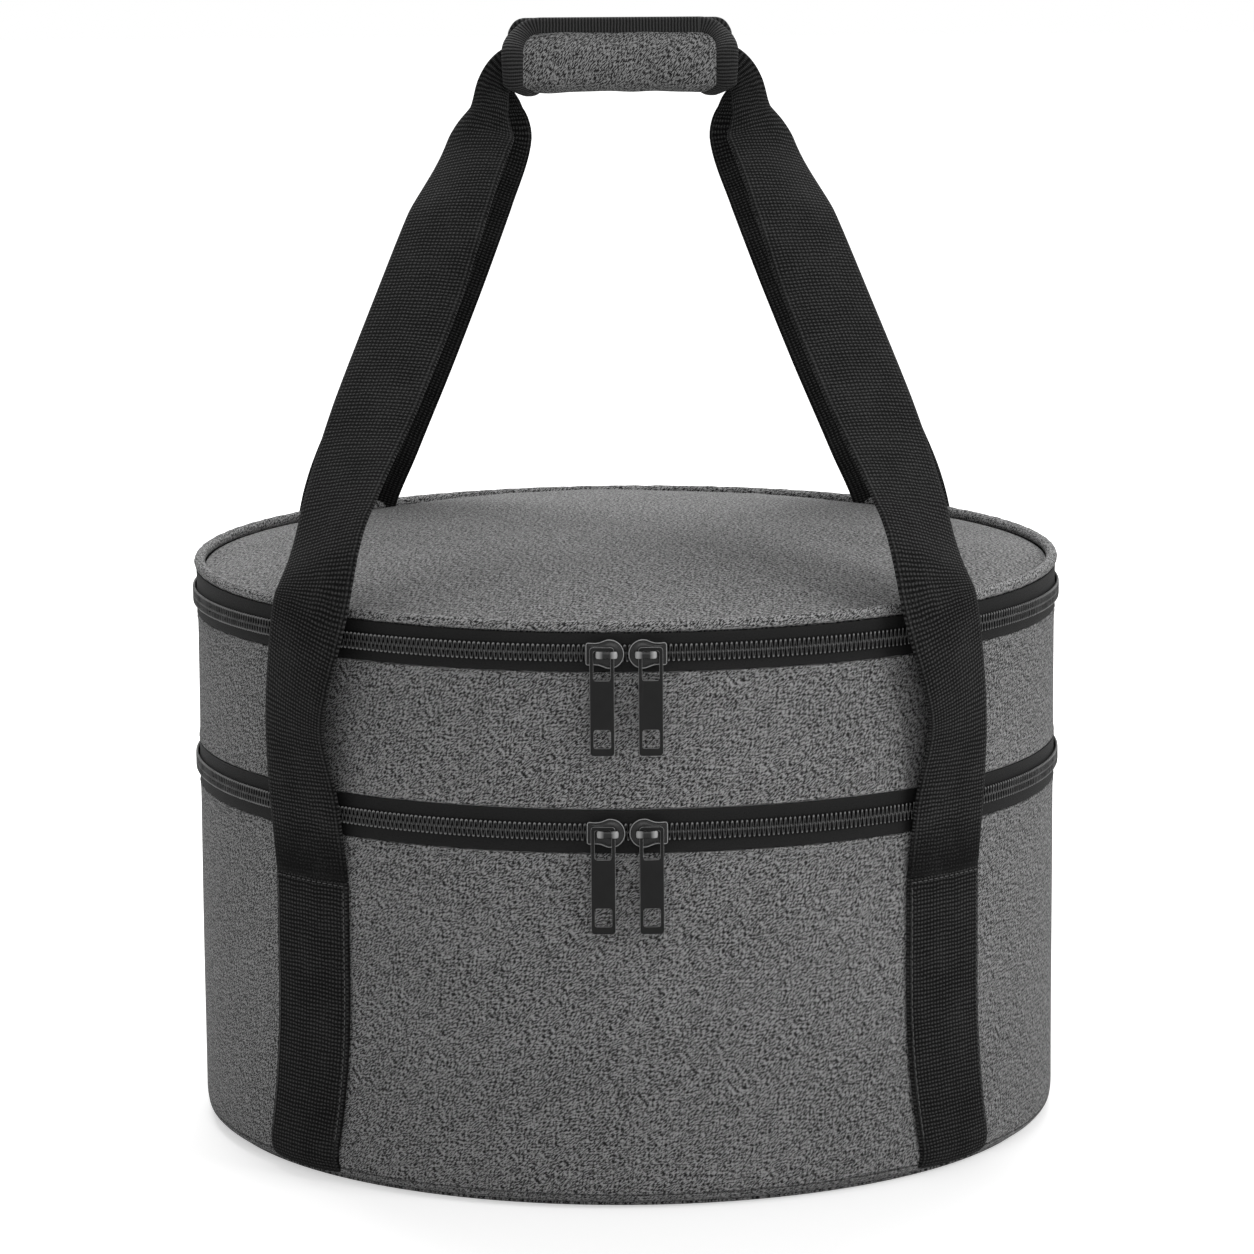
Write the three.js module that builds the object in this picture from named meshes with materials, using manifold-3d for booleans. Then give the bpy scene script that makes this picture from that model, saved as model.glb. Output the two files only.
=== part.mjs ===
// A round, two-deck insulated carrier bag: a cylindrical fabric body, a shallow upper deck, a domed lid,
// two coil zips with a pair of sliders each, and two webbing handles gathered in a padded grip wrap.
// Millimetres, +Z up, the front towards -Y. The origin is the middle of the bottom, on the floor.

import * as THREE from "three";
import { mergeVertices } from "three/addons/utils/BufferGeometryUtils.js";
import Module from "manifold-3d";

const wasm = await Module();
wasm.setup();

// Body sizes
const bodyRadius = 190;
const midZipHeight = 160;
const topZipHeight = 234.4;
const lidCrown = 17.4; // how far the lid's middle stands above its shoulder
const lidShoulder = 18.4; // from the top zip's middle up to the lid's shoulder
const bottomEdgeRadius = 9;

// Layers of the walls and floors
const fabric = 1.2;
const foam = 6;
const floorFoam = 6;
const deckFloorFoam = 4;
const lidFoam = 7;
const lining = 0.8;
const bottomPanel = 1.6;
const stiffener = 2;
const gap = 0.3;
const pipingRadius = 2;

// Zips
const zipHalfAngle = THREE.MathUtils.degToRad(150);
const midTapeHalf = 9;
const topTapeHalf = 8;
const tapeThickness = 1;
const chainHalf = 3.6;
const coilThickness = 1.4;
const meetingGap = 0.15; // from a zip's middle plane to each half

// Sliders and pulls
const sliderLength = 15.6;
const sliderNoseRadius = 5.8;
const sliderTailHalf = 4.4;
const sliderPlate = 1.6;
const sliderNoseAt = 1; // from the bag's middle plane to each closed slider's nose
const bridgeHalfHeight = 1.25;
const bridgeThickness = 1.4;
const bridgePost = 1.2;
const bridgeClear = 0.4; // from the bridge's inner post to the pull's side bar
const bridgeEndClear = 0.75; // lets the pull's outer bar swing out past the bridge's end
const tunnelClear = 1.15; // from the slider's plate to the middle of the pull's side bar
const underBridge = 1.1; // from the middle of the pull's side bar to the bridge
const pullWidth = 10;
const pullLength = 45;
const pullThickness = 1.4;
const pullBar = 1.5;
const pullWindow = 12.2;
const pullHole = 7.6;
const pullEnd = 3.2;

// Handles
const webbingWidth = 44.5;
const webbingThickness = 2.2;
const strapAngle = THREE.MathUtils.degToRad(43.1);
const sewnBottom = 8;
const sewnBelowZip = 29; // from the middle zip down to the top of the sewn webbing
const sewnTop = midZipHeight - sewnBelowZip;
const strapStandOff = 10.5;
const rootGap = 0.9; // the leaning webbing's middle over its sewn end
const foldedWidth = 19.8;
const foldedThickness = 4.4;
const foldedCurl = 0.5;
const foldedFrom = 33; // how far from the grip's middle the webbing lies evenly folded
const gripHalfDepth = 4.6; // from the middle plane to each folded webbing's middle

// How a leg of webbing runs, with its facing in degrees from the front
const standShare = 0.575; // of the way from its sewn top to the lid's shoulder, where it stands off furthest
const rootShare = 0.45; // of the way from its root to where it stands off furthest
const legShares = [0.2, 0.42, 0.64, 0.84]; // of the way from the rim to its turn into the grip
const legNarrowing = 3;
const legCurl = 0.3;

// How far each leg has drawn in round the bag at the rim, in radians, how far it bows out above it, which way it
// faces at rootShare, where it stands off furthest, at the rim and at legShares, in degrees from the front or the
// back, and its turn into the grip: how far along the grip, out from its middle plane and
// above the wrap's fold, with its facing and its [width, thickness, curl].
const frontLeg = {
  rimTurn: 0.035,
  bow: 3.4,
  facings: [45.5, 56, 48, 39, 35.5, 37.5, 42],
  turn: [
    { at: [62, -17.5, -16], face: [0.75, -0.66, 0], size: [32, 2.2, 0.9] },
    { at: [58.8, -13.5, -4.5], face: [0.5, -0.86, 0.1], size: [21, 3, 1.2] },
    { at: [55.6, -10, 5.2], face: [0.2, -0.97, 0.1], size: [17, 3.6, 1] },
    { at: [51, -8, 11.4], face: [0.1, -0.99, 0.1], size: [17, 4, 0.8] },
    { at: [44, -6.9, 14.3], face: [0, -1, 0], size: [18.4, 4.4, 0.5] },
  ],
};
const rearLeg = {
  rimTurn: 0,
  bow: 0.4,
  facings: [42, 39, 33, 20, 8, 8, 11],
  turn: [
    { at: [57.6, -15.5, -17], face: [0.25, -0.97, 0], size: [36, 2.2, 0.5] },
    { at: [56.4, -12, -5.5], face: [0.3, -0.95, 0.1], size: [25, 2.8, 0.9] },
    { at: [55.2, -10, 5], face: [0.2, -0.97, 0.1], size: [17, 3.6, 1] },
    { at: [51, -8, 11.4], face: [0.1, -0.99, 0.1], size: [17, 4, 0.8] },
    { at: [44, -6.9, 14.3], face: [0, -1, 0], size: [18.4, 4.4, 0.5] },
  ],
};

// Grip wrap
const wrapHalfLength = 51.7;
const wrapBottom = 454.4;
const wrapHeight = 35.6;
const gripRise = 15; // from the wrap's fold up to the middle of the folded webbing
const wrapHalfDepth = 16;
const wrapFabric = 1;
const wrapPadding = 2;
const bindingWidth = 7.2;
const bindingThickness = 3.5;
const wrapCorner = 14;
const foldDraw = 8.4; // how far each end is drawn in at the fold
const foldDrawReach = 13;
const flapRows = 8; // facets up a flap to its rounded corners
const cornerRows = 4;
const closureWidth = 7;
const closureThickness = 0.7;

const ringSteps = 36; // facets of a full round
const stepAngle = (2 * Math.PI) / ringSteps;

// Radii that the layers give
const wallInner = bodyRadius - fabric;
const foamOuter = wallInner - gap;
const foamInner = foamOuter - foam;
const liningOuter = foamInner - gap;
const liningInner = liningOuter - lining;
const tapeInner = bodyRadius - tapeThickness + 0.6;
const tapeOuter = tapeInner + tapeThickness;
const coilInner = tapeOuter + gap;
const coilOuter = coilInner + coilThickness;
const flangeOuter = tapeInner - 0.4;

// Colours, each with its roughness and metalness
const finishes = {
  heather: [0x55565a, 0.95, 0],
  webbing: [0x26262a, 0.9, 0],
  tape: [0x17171a, 0.85, 0],
  coil: [0x121214, 0.35, 0],
  metal: [0x1b1b1e, 0.3, 0.6],
  foam: [0xe4e4e0, 1, 0],
  lining: [0xb9bcc0, 0.35, 0.4],
  board: [0x3a3a3a, 0.7, 0],
  binding: [0x1d1d20, 0.9, 0],
  closure: [0x101012, 1, 0],
};

const bag = new THREE.Group();
bag.name = "round_cooler_bag";

function add(name, geometry, finish) {
  const [color, roughness, metalness] = finishes[finish];
  const material = new THREE.MeshStandardMaterial({ color, roughness, metalness });
  const mesh = new THREE.Mesh(geometry, material);
  mesh.name = name;
  bag.add(mesh);
  return mesh;
}

// A point at a radius and an angle round the bag. The angle starts at the front and grows to the right.
function around(radius, angle, z) {
  return new THREE.Vector3(radius * Math.sin(angle), -radius * Math.cos(angle), z);
}

// A full turn of a closed profile of [radius, height] points.
function turned(profile) {
  const points = profile.map(([r, z]) => new THREE.Vector2(r, z));
  const onAxis = profile[0][0] === 0;
  if (!onAxis) points.push(points[0].clone());
  const geometry = new THREE.LatheGeometry(points, ringSteps).rotateX(Math.PI / 2);
  return facedOut(geometry);
}

function volumeOf(geometry) {
  const at = geometry.attributes.position;
  const corner = [new THREE.Vector3(), new THREE.Vector3(), new THREE.Vector3()];
  let six = 0;
  for (let i = 0; i < geometry.index.count; i += 3) {
    corner.forEach((v, k) => v.fromBufferAttribute(at, geometry.index.getX(i + k)));
    six += corner[0].dot(corner[1].clone().cross(corner[2]));
  }
  return six / 6;
}

// Turns every face round if the solid is inside out.
function facedOut(geometry) {
  if (volumeOf(geometry) < 0) {
    const index = Array.from(geometry.index.array);
    for (let i = 0; i < index.length; i += 3) {
      [index[i + 1], index[i + 2]] = [index[i + 2], index[i + 1]];
    }
    geometry.setIndex(index);
  }
  return geometry;
}

// A closed solid through a row of strips. A strip is a pair of rails, outer and inner, with as many points each.
function lofted(strips) {
  const rail = strips[0].outer.length;
  const round = 2 * rail;
  const positions = [];
  const index = [];
  for (const { outer, inner } of strips) {
    for (const point of [...outer, ...[...inner].reverse()]) positions.push(...point);
  }
  for (let i = 0; i + 1 < strips.length; i += 1) {
    for (let j = 0; j < round; j += 1) {
      const a = i * round + j;
      const b = i * round + ((j + 1) % round);
      index.push(a, b, b + round, a, b + round, a + round);
    }
  }
  const last = (strips.length - 1) * round;
  for (let j = 0; j + 1 < rail; j += 1) {
    const across = round - 1 - j;
    index.push(j, across, across - 1, j, across - 1, j + 1);
    index.push(last + j, last + j + 1, last + across - 1, last + j, last + across - 1, last + across);
  }
  const geometry = new THREE.BufferGeometry();
  geometry.setAttribute("position", new THREE.Float32BufferAttribute(positions, 3));
  geometry.setIndex(index);
  return facedOut(geometry);
}

// A band on part of a ring, between two angles, two radii and two heights.
function band(fromAngle, toAngle, innerRadius, outerRadius, low, high, steps) {
  const count = steps ?? Math.round((toAngle - fromAngle) / stepAngle);
  const strips = [];
  for (let i = 0; i <= count; i += 1) {
    const angle = fromAngle + ((toAngle - fromAngle) * i) / count;
    strips.push({
      outer: [around(outerRadius, angle, low), around(outerRadius, angle, high)],
      inner: [around(innerRadius, angle, low), around(innerRadius, angle, high)],
    });
  }
  return lofted(strips);
}

function solidOf(geometry) {
  const bare = geometry.clone();
  bare.deleteAttribute("normal");
  bare.deleteAttribute("uv");
  const merged = mergeVertices(bare, 1e-4);
  return new wasm.Manifold(
    new wasm.Mesh({
      numProp: 3,
      vertProperties: new Float32Array(merged.attributes.position.array),
      triVerts: new Uint32Array(merged.index.array),
    }),
  );
}

function geometryOf(solid) {
  const { vertProperties, triVerts } = solid.getMesh();
  const geometry = new THREE.BufferGeometry();
  geometry.setAttribute("position", new THREE.Float32BufferAttribute(vertProperties, 3));
  geometry.setIndex(Array.from(triVerts));
  return geometry;
}

// Base: floor, wall and lining of the main compartment
const wallBottom = bottomPanel + gap;
const boardBottom = bottomPanel + gap;
const floorFoamBottom = boardBottom + stiffener + gap;
const baseLiningBottom = floorFoamBottom + floorFoam + gap;
const turnedEdge = bodyRadius - 7;
const boardRadius = turnedEdge - gap;
const baseFabricTop = midZipHeight - midTapeHalf;
const baseFoamTop = midZipHeight - 3.1;
const baseFlange = baseFoamTop + gap;

// The wall's fabric with its rounded bottom edge turned in under the foam.
function wallWithTurnedEdge(low, high) {
  const outer = [];
  const inner = [];
  for (let i = 0; i <= 4; i += 1) {
    const turn = (i / 4) * (Math.PI / 2);
    const rise = bottomEdgeRadius * (1 - Math.cos(turn));
    const reach = (bodyRadius - turnedEdge) * Math.sin(turn);
    outer.push([turnedEdge + reach, low + rise * 0.9]);
  }
  for (const [r, z] of outer) inner.unshift([Math.min(r, wallInner), z + fabric]);
  inner.shift();
  return [...outer, [bodyRadius, high], [wallInner, high], [wallInner, outer.at(-1)[1] + fabric], ...inner];
}

// A flat disc, from the axis out.
function disc(radius, low, high) {
  return turned([
    [0, low],
    [radius, low],
    [radius, high],
    [0, high],
  ]);
}

// A tube between two radii and two heights.
function tube(innerRadius, outerRadius, low, high) {
  return turned([
    [innerRadius, low],
    [outerRadius, low],
    [outerRadius, high],
    [innerRadius, high],
  ]);
}

// A round lining with a floor, a wall and a flange that reaches out over the foam to the zip.
function liningCup(floor, flange) {
  return turned([
    [0, floor],
    [liningOuter, floor],
    [liningOuter, flange],
    [flangeOuter, flange],
    [flangeOuter, flange + lining],
    [liningInner, flange + lining],
    [liningInner, floor + lining],
    [0, floor + lining],
  ]);
}

add("bottom_panel", disc(turnedEdge + 1, 0, bottomPanel), "heather");
add("bottom_stiffener", disc(boardRadius, boardBottom, boardBottom + stiffener), "board");
add("base_floor_foam", disc(liningOuter, floorFoamBottom, floorFoamBottom + floorFoam), "foam");
add("base_wall_fabric", turned(wallWithTurnedEdge(wallBottom, baseFabricTop - gap)), "heather");
add("base_wall_foam", tube(foamInner, foamOuter, wallBottom + bottomEdgeRadius + fabric, baseFoamTop), "foam");
add("base_lining", liningCup(baseLiningBottom, baseFlange), "lining");

// Deck: the shallow upper compartment, whose floor closes the main one
const deckUnderside = midZipHeight + 0.8;
const deckFoamBottom = deckUnderside + lining + gap;
const deckFloorTop = deckFoamBottom + deckFloorFoam;
const deckFabricBottom = midZipHeight + midTapeHalf;
const deckFabricTop = topZipHeight - topTapeHalf;
const deckFoamTop = topZipHeight - 3.1;
const deckFlange = deckFoamTop + gap;

add("deck_underside_lining", disc(flangeOuter, deckUnderside, deckUnderside + lining), "lining");
add("deck_floor_foam", disc(foamOuter, deckFoamBottom, deckFloorTop), "foam");
add("deck_wall_fabric", tube(wallInner, bodyRadius, deckFabricBottom + gap, deckFabricTop - gap), "heather");
add("deck_wall_foam", tube(foamInner, foamOuter, deckFloorTop + gap, deckFoamTop), "foam");
add("deck_lining", liningCup(deckFloorTop + gap, deckFlange), "lining");

// Lid: a domed panel with a piped edge over foam and lining
const pipingHeight = topZipHeight + topTapeHalf + gap + pipingRadius;
const shoulderHeight = topZipHeight + lidShoulder;

// The lid's outer surface, from the middle to the edge, as [radius, height].
function domeOutline(radiusInset, drop) {
  const flat = bodyRadius * 0.62;
  const top = shoulderHeight + lidCrown - drop;
  const shoulder = bodyRadius - 1.4 - radiusInset;
  const points = [
    [0, top],
    [flat, top - 0.1 * lidCrown],
  ];
  const steps = 5;
  for (let i = 1; i <= steps; i += 1) {
    const turn = (i / steps) * (Math.PI / 2);
    const reach = (shoulder - flat) * Math.sin(turn);
    points.push([flat + reach, top - lidCrown * (0.1 + 0.9 * (1 - Math.cos(turn)) ** 1.5)]);
  }
  return points;
}

// A shell that follows the dome between two depths under the lid's surface, down to an edge.
function domeShell(outset, depth, insideOutset, insideDepth, edge) {
  const outer = domeOutline(outset, depth);
  const inner = domeOutline(insideOutset, insideDepth);
  const rim = [outer.at(-1)[0], edge];
  const rimInside = [inner.at(-1)[0], edge];
  return [...outer, rim, rimInside, ...inner.reverse()];
}

const panelEdge = pipingHeight + pipingRadius + gap;
const foamRim = foam + fabric + gap;
const lidFoamEdge = panelEdge - 0.2;
const lidLiningEdge = topZipHeight + 3;
add("lid_panel", turned(domeShell(0, 0, fabric, fabric, panelEdge)), "heather");
add(
  "lid_foam",
  turned(domeShell(fabric + gap, fabric + gap, foamRim, fabric + gap + lidFoam, lidFoamEdge)),
  "foam",
);

// The lid's lining runs down inside the foam and out to the zip tape.
function lidLiningProfile() {
  const depth = fabric + lidFoam + 2 * gap;
  const outer = domeOutline(foamRim + gap, depth);
  const inner = domeOutline(foamRim + gap + lining, depth + lining);
  const outside = outer.at(-1)[0];
  const inside = inner.at(-1)[0];
  return [
    ...outer,
    [outside, lidLiningEdge + lining],
    [flangeOuter, lidLiningEdge + lining],
    [flangeOuter, lidLiningEdge],
    [inside, lidLiningEdge],
    ...inner.reverse(),
  ];
}
add("lid_lining", turned(lidLiningProfile()), "lining");

function pipingProfile() {
  const middle = bodyRadius - 0.6;
  return Array.from({ length: 8 }, (_, i) => {
    const turn = (i * Math.PI) / 4;
    return [middle + pipingRadius * Math.cos(turn), pipingHeight + pipingRadius * Math.sin(turn)];
  });
}
add("lid_piping", turned(pipingProfile()), "heather");

// Zips: two tapes and two coils each, open across the hinge at the back
function addZip(name, height, tapeHalf) {
  const lower = height - meetingGap;
  const upper = height + meetingGap;
  const sector = (inner, outer, low, high) => band(-zipHalfAngle, zipHalfAngle, inner, outer, low, high);
  add(`${name}_zip_tape_lower`, sector(tapeInner, tapeOuter, height - tapeHalf, lower), "tape");
  add(`${name}_zip_tape_upper`, sector(tapeInner, tapeOuter, upper, height + tapeHalf), "tape");
  add(`${name}_zip_coil_lower`, sector(coilInner, coilOuter, height - chainHalf, lower), "coil");
  add(`${name}_zip_coil_upper`, sector(coilInner, coilOuter, upper, height + chainHalf), "coil");
  const clear = gap / bodyRadius;
  const back = 2 * Math.PI - zipHalfAngle - clear;
  const steps = ringSteps / 6;
  const strip = band(
    zipHalfAngle + clear,
    back,
    tapeInner,
    tapeOuter,
    height - tapeHalf,
    height + tapeHalf,
    steps,
  );
  add(`${name}_hinge_strip`, strip, "heather");
}
addZip("mid", midZipHeight, midTapeHalf);
addZip("top", topZipHeight, topTapeHalf);

// Sliders, drawn flat at the front of the bag, with the nose towards -X and the face towards -Y
const plateInner = coilOuter + 0.6;
const plateOuter = plateInner + sliderPlate;
const tunnelMiddle = plateOuter + tunnelClear;
const bridgeInner = tunnelMiddle + underBridge;
const bridgeOuter = bridgeInner + bridgeThickness;
const pullMiddle = 1; // along the zip, from the slider's middle
const pullInnerBar = pullMiddle - pullWidth / 2 + pullBar / 2;
const bridgeFrom = pullInnerBar - pullBar / 2 - bridgeClear - bridgePost;
const bridgeTo = pullMiddle + pullWidth / 2 - pullBar - bridgeEndClear;

// An extruded outline in the x-z plane, between two depths measured outwards from the bag's axis.
function plate(shape, inner, outer, curveSegments) {
  const depth = outer - inner;
  const geometry = new THREE.ExtrudeGeometry(shape, { depth, bevelEnabled: false, curveSegments });
  return geometry.rotateX(Math.PI / 2).translate(0, -inner, 0);
}

// A block between two corners.
function block(low, high) {
  const size = new THREE.Vector3().subVectors(high, low);
  const middle = new THREE.Vector3().addVectors(low, high).multiplyScalar(0.5);
  return new THREE.BoxGeometry(size.x, size.y, size.z).translate(middle.x, middle.y, middle.z);
}

function sliderOutline() {
  const noseX = -sliderLength / 2 + sliderNoseRadius;
  const tailX = sliderLength / 2;
  const shape = new THREE.Shape();
  shape.moveTo(tailX, -sliderTailHalf);
  shape.lineTo(tailX, sliderTailHalf);
  shape.lineTo(noseX + 4.4, sliderTailHalf);
  shape.lineTo(noseX, sliderNoseRadius);
  shape.absarc(noseX, 0, sliderNoseRadius, Math.PI / 2, (3 * Math.PI) / 2, false);
  shape.lineTo(noseX + 4.4, -sliderTailHalf);
  return shape;
}

function sliderBody() {
  const reach = 0.2; // each joined piece runs this far into the next
  const noseX = -sliderLength / 2 + sliderNoseRadius;
  const lipTop = -chainHalf - 0.35;
  const lip = block(
    new THREE.Vector3(noseX, -plateInner - reach, -sliderTailHalf - 0.2),
    new THREE.Vector3(sliderLength / 2, -tapeOuter - 0.6, lipTop),
  );
  const bridge = block(
    new THREE.Vector3(bridgeFrom, -bridgeOuter, -bridgeHalfHeight),
    new THREE.Vector3(bridgeTo, -bridgeInner, bridgeHalfHeight),
  );
  const posts = [bridgeFrom, bridgeTo - bridgePost].map((x) =>
    block(
      new THREE.Vector3(x, -bridgeInner - reach, -bridgeHalfHeight),
      new THREE.Vector3(x + bridgePost, -plateOuter + reach, bridgeHalfHeight),
    ),
  );
  let body = solidOf(plate(sliderOutline(), plateInner, plateOuter, 8));
  for (const piece of [lip, bridge, ...posts]) body = body.add(solidOf(piece));
  return geometryOf(body);
}

// A rectangle with rounded corners, as the outline of a pull or of a hole in it.
function roundedRectangle(path, left, right, low, high, radius) {
  path.moveTo(left + radius, low);
  path.lineTo(right - radius, low);
  path.absarc(right - radius, low + radius, radius, -Math.PI / 2, 0, false);
  path.lineTo(right, high - radius);
  path.absarc(right - radius, high - radius, radius, 0, Math.PI / 2, false);
  path.lineTo(left + radius, high);
  path.absarc(left + radius, high - radius, radius, Math.PI / 2, Math.PI, false);
  path.lineTo(left, low + radius);
  path.absarc(left + radius, low + radius, radius, Math.PI, (3 * Math.PI) / 2, false);
  return path;
}

// A pull hangs flat with its ring behind the bridge, its side bar in the tunnel and its top bar above.
function pullPlate() {
  const top = bridgeHalfHeight + gap + pullBar;
  const left = pullMiddle - pullWidth / 2;
  const right = pullMiddle + pullWidth / 2;
  const bottom = top - pullLength;
  const shape = roundedRectangle(new THREE.Shape(), left, right, bottom, top, 1.4);
  const inLeft = left + pullBar;
  const inRight = right - pullBar;
  const windowTop = top - pullBar;
  const window = roundedRectangle(new THREE.Path(), inLeft, inRight, windowTop - pullWindow, windowTop, 1);
  const holeLow = bottom + pullEnd;
  const hole = roundedRectangle(new THREE.Path(), inLeft, inRight, holeLow, holeLow + pullHole, 1);
  shape.holes.push(window, hole);
  return plate(shape, tunnelMiddle - pullThickness / 2, tunnelMiddle + pullThickness / 2, 2);
}

// Mirrors a solid from the bag's right to its left.
function mirrored(geometry) {
  const copy = geometry.clone().scale(-1, 1, 1);
  copy.setIndex(copy.index ?? Array.from({ length: copy.attributes.position.count }, (_, i) => i));
  return facedOut(copy);
}

const sliderTurn = (sliderNoseAt + sliderLength / 2) / coilOuter;
for (const [zip, height] of [
  ["mid", midZipHeight],
  ["top", topZipHeight],
]) {
  for (const [side, sign] of [
    ["left", -1],
    ["right", 1],
  ]) {
    const handed = sign < 0 ? mirrored : (geometry) => geometry;
    const carriage = new THREE.Group();
    carriage.position.z = height;
    carriage.rotation.z = sign * sliderTurn;
    bag.add(carriage);
    carriage.add(add(`${zip}_slider_${side}`, handed(sliderBody()), "metal"));
    carriage.add(add(`${zip}_pull_${side}`, handed(pullPlate()), "metal"));
  }
}

// Handles: webbing sewn up the wall, then free and leaning in to the grip
const sewnInner = bodyRadius + 0.4;
const sewnOuter = sewnInner + webbingThickness;
const halfWebbingAngle = webbingWidth / 2 / sewnOuter;

function addSewnStraps() {
  for (const [name, middle] of [
    ["front_right", strapAngle],
    ["front_left", -strapAngle],
    ["rear_right", Math.PI - strapAngle],
    ["rear_left", Math.PI + strapAngle],
  ]) {
    const from = middle - halfWebbingAngle;
    const to = middle + halfWebbingAngle;
    add(`${name}_sewn_strap`, band(from, to, sewnInner, sewnOuter, sewnBottom, sewnTop, 4), "webbing");
  }
}
addSewnStraps();

// One leg on the front's right, or a rear one turned to the front, as stations from its sewn root to the middle of
// the grip: where the webbing's outer face runs, which way it faces, and its [width, thickness, curl].
function legStations({ rimTurn, bow, facings, turn }) {
  const flat = [webbingWidth, webbingThickness, webbingWidth / sewnOuter];
  const facing = (degrees) => around(1, THREE.MathUtils.degToRad(degrees), 0);
  const standRadius = bodyRadius + strapStandOff;
  const standHeight = THREE.MathUtils.lerp(sewnTop, shoulderHeight, standShare);
  const root = around(sewnOuter, strapAngle, sewnTop + rootGap);
  const free = around(standRadius, strapAngle - gap / bodyRadius, standHeight);
  const rim = around(standRadius - 1, strapAngle - rimTurn, shoulderHeight - 1);
  const atGrip = ([along, out, above]) => new THREE.Vector3(along, out, wrapBottom + above);
  const stations = [
    [root, around(1, strapAngle, 0), flat],
    [root.clone().lerp(free, rootShare), facing(facings[0]), flat],
    [free, facing(facings[1]), flat],
    [rim, facing(facings[2]), flat],
  ];
  const top = atGrip(turn[0].at);
  legShares.forEach((share, i) => {
    const at = rim.clone().lerp(top, share);
    at.x += bow * Math.sin(Math.PI * share);
    at.y -= bow * Math.sin(Math.PI * share);
    stations.push([at, facing(facings[i + 3]), [webbingWidth - legNarrowing * share ** 3, webbingThickness, legCurl]]);
  });
  for (const { at, face, size } of turn) stations.push([atGrip(at), new THREE.Vector3(...face), size]);
  const front = new THREE.Vector3(0, -1, 0);
  const folded = [foldedWidth, foldedThickness, foldedCurl];
  for (const along of [foldedFrom, 0]) {
    stations.push([atGrip([along, -gripHalfDepth - foldedThickness / 2, gripRise]), front, folded]);
  }
  return stations;
}

// A strip of webbing across its path: an arc that bends with the curl, its middle on the path.
function webbingStrip(at, along, facing, width, thickness, curl) {
  const across = new THREE.Vector3().crossVectors(along, facing).normalize();
  const out = new THREE.Vector3().crossVectors(across, along).normalize();
  const radius = width / curl;
  const outer = [];
  const inner = [];
  for (let i = 0; i <= 4; i += 1) {
    const turn = curl * (i / 4 - 0.5);
    const normal = out.clone().multiplyScalar(Math.cos(turn)).addScaledVector(across, Math.sin(turn));
    const point = at.clone().addScaledVector(out, -radius).addScaledVector(normal, radius);
    outer.push(point);
    inner.push(point.clone().addScaledVector(normal, -thickness));
  }
  return { outer, inner };
}

function handleWebbing(toRear) {
  const stations = legStations(toRear ? rearLeg : frontLeg);
  const through = (pick) => new THREE.CatmullRomCurve3(stations.map(pick), false, "centripetal");
  const path = through(([at]) => at);
  const facing = through(([, face]) => face);
  const size = through(([, , [width, thickness, curl]]) => new THREE.Vector3(width, thickness, curl));
  const count = 2 * (stations.length - 1);
  const leg = [];
  for (let i = 0; i <= count; i += 1) {
    const t = i / count;
    const { x: width, y: thickness, z: curl } = size.getPoint(t);
    leg.push(webbingStrip(path.getPoint(t), path.getTangent(t), facing.getPoint(t), width, thickness, curl));
  }
  const flipped = (points) => points.map((p) => new THREE.Vector3(-p.x, p.y, p.z));
  const far = leg.slice(0, -1).map(({ outer, inner }) => ({ outer: flipped(outer), inner: flipped(inner) }));
  const whole = lofted([...leg, ...far.reverse()]);
  return toRear ? facedOut(whole.scale(1, -1, 1)) : whole;
}
add("front_handle_webbing", handleWebbing(false), "webbing");
add("rear_handle_webbing", handleWebbing(true), "webbing");

// Grip wrap: two flaps from a fold under the webbing up to a closed top edge
const wrapSpline = new THREE.SplineCurve(
  [
    [0.2, 0],
    [0.52, 0.045],
    [0.86, 0.18],
    [1, 0.4],
    [0.86, 0.6],
    [0.56, 0.76],
    [0.34, 0.88],
    [0.3, 1],
  ].map(([out, up]) => new THREE.Vector2(out * wrapHalfDepth, wrapBottom + up * wrapHeight)),
);
const wrapLength = wrapSpline.getLength();

// A point on the front flap: along the grip, up its curved face from the fold, and in from its outer face.
function onFlap(x, up, depth) {
  const t = THREE.MathUtils.clamp(up / wrapLength, 0, 1);
  const { x: out, y: z } = wrapSpline.getPointAt(t);
  const tangent = wrapSpline.getTangentAt(t);
  return new THREE.Vector3(x, -out + depth * tangent.y, z + depth * tangent.x);
}

// How far the flap's ends are drawn in at a height up its face, by the webbing that turns in past the fold.
function endDraw(up) {
  return foldDraw * Math.max(0, 1 - (up / foldDrawReach) ** 2);
}

// Half the flap's length at a height up its face, less near the fold and at the rounded top corners.
function flapHalf(up, inset) {
  const radius = wrapCorner - inset;
  const above = up - (wrapLength - wrapCorner);
  if (above <= 0) return wrapHalfLength - endDraw(up) - inset;
  return wrapHalfLength - wrapCorner + Math.sqrt(Math.max(radius ** 2 - above ** 2, 0));
}

// A layer of the flap inside the binding, between two depths.
function flapLayer(inset, fromDepth, toDepth) {
  const top = wrapLength - inset;
  const rise = wrapLength - wrapCorner;
  const strips = [];
  for (let i = 0; i <= flapRows + cornerRows; i += 1) {
    const up = i <= flapRows ? (rise * i) / flapRows : THREE.MathUtils.lerp(rise, top, (i - flapRows) / cornerRows);
    const half = flapHalf(up, inset);
    strips.push({
      outer: [onFlap(-half, up, fromDepth), onFlap(half, up, fromDepth)],
      inner: [onFlap(-half, up, toDepth), onFlap(half, up, toDepth)],
    });
  }
  return lofted(strips);
}

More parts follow.
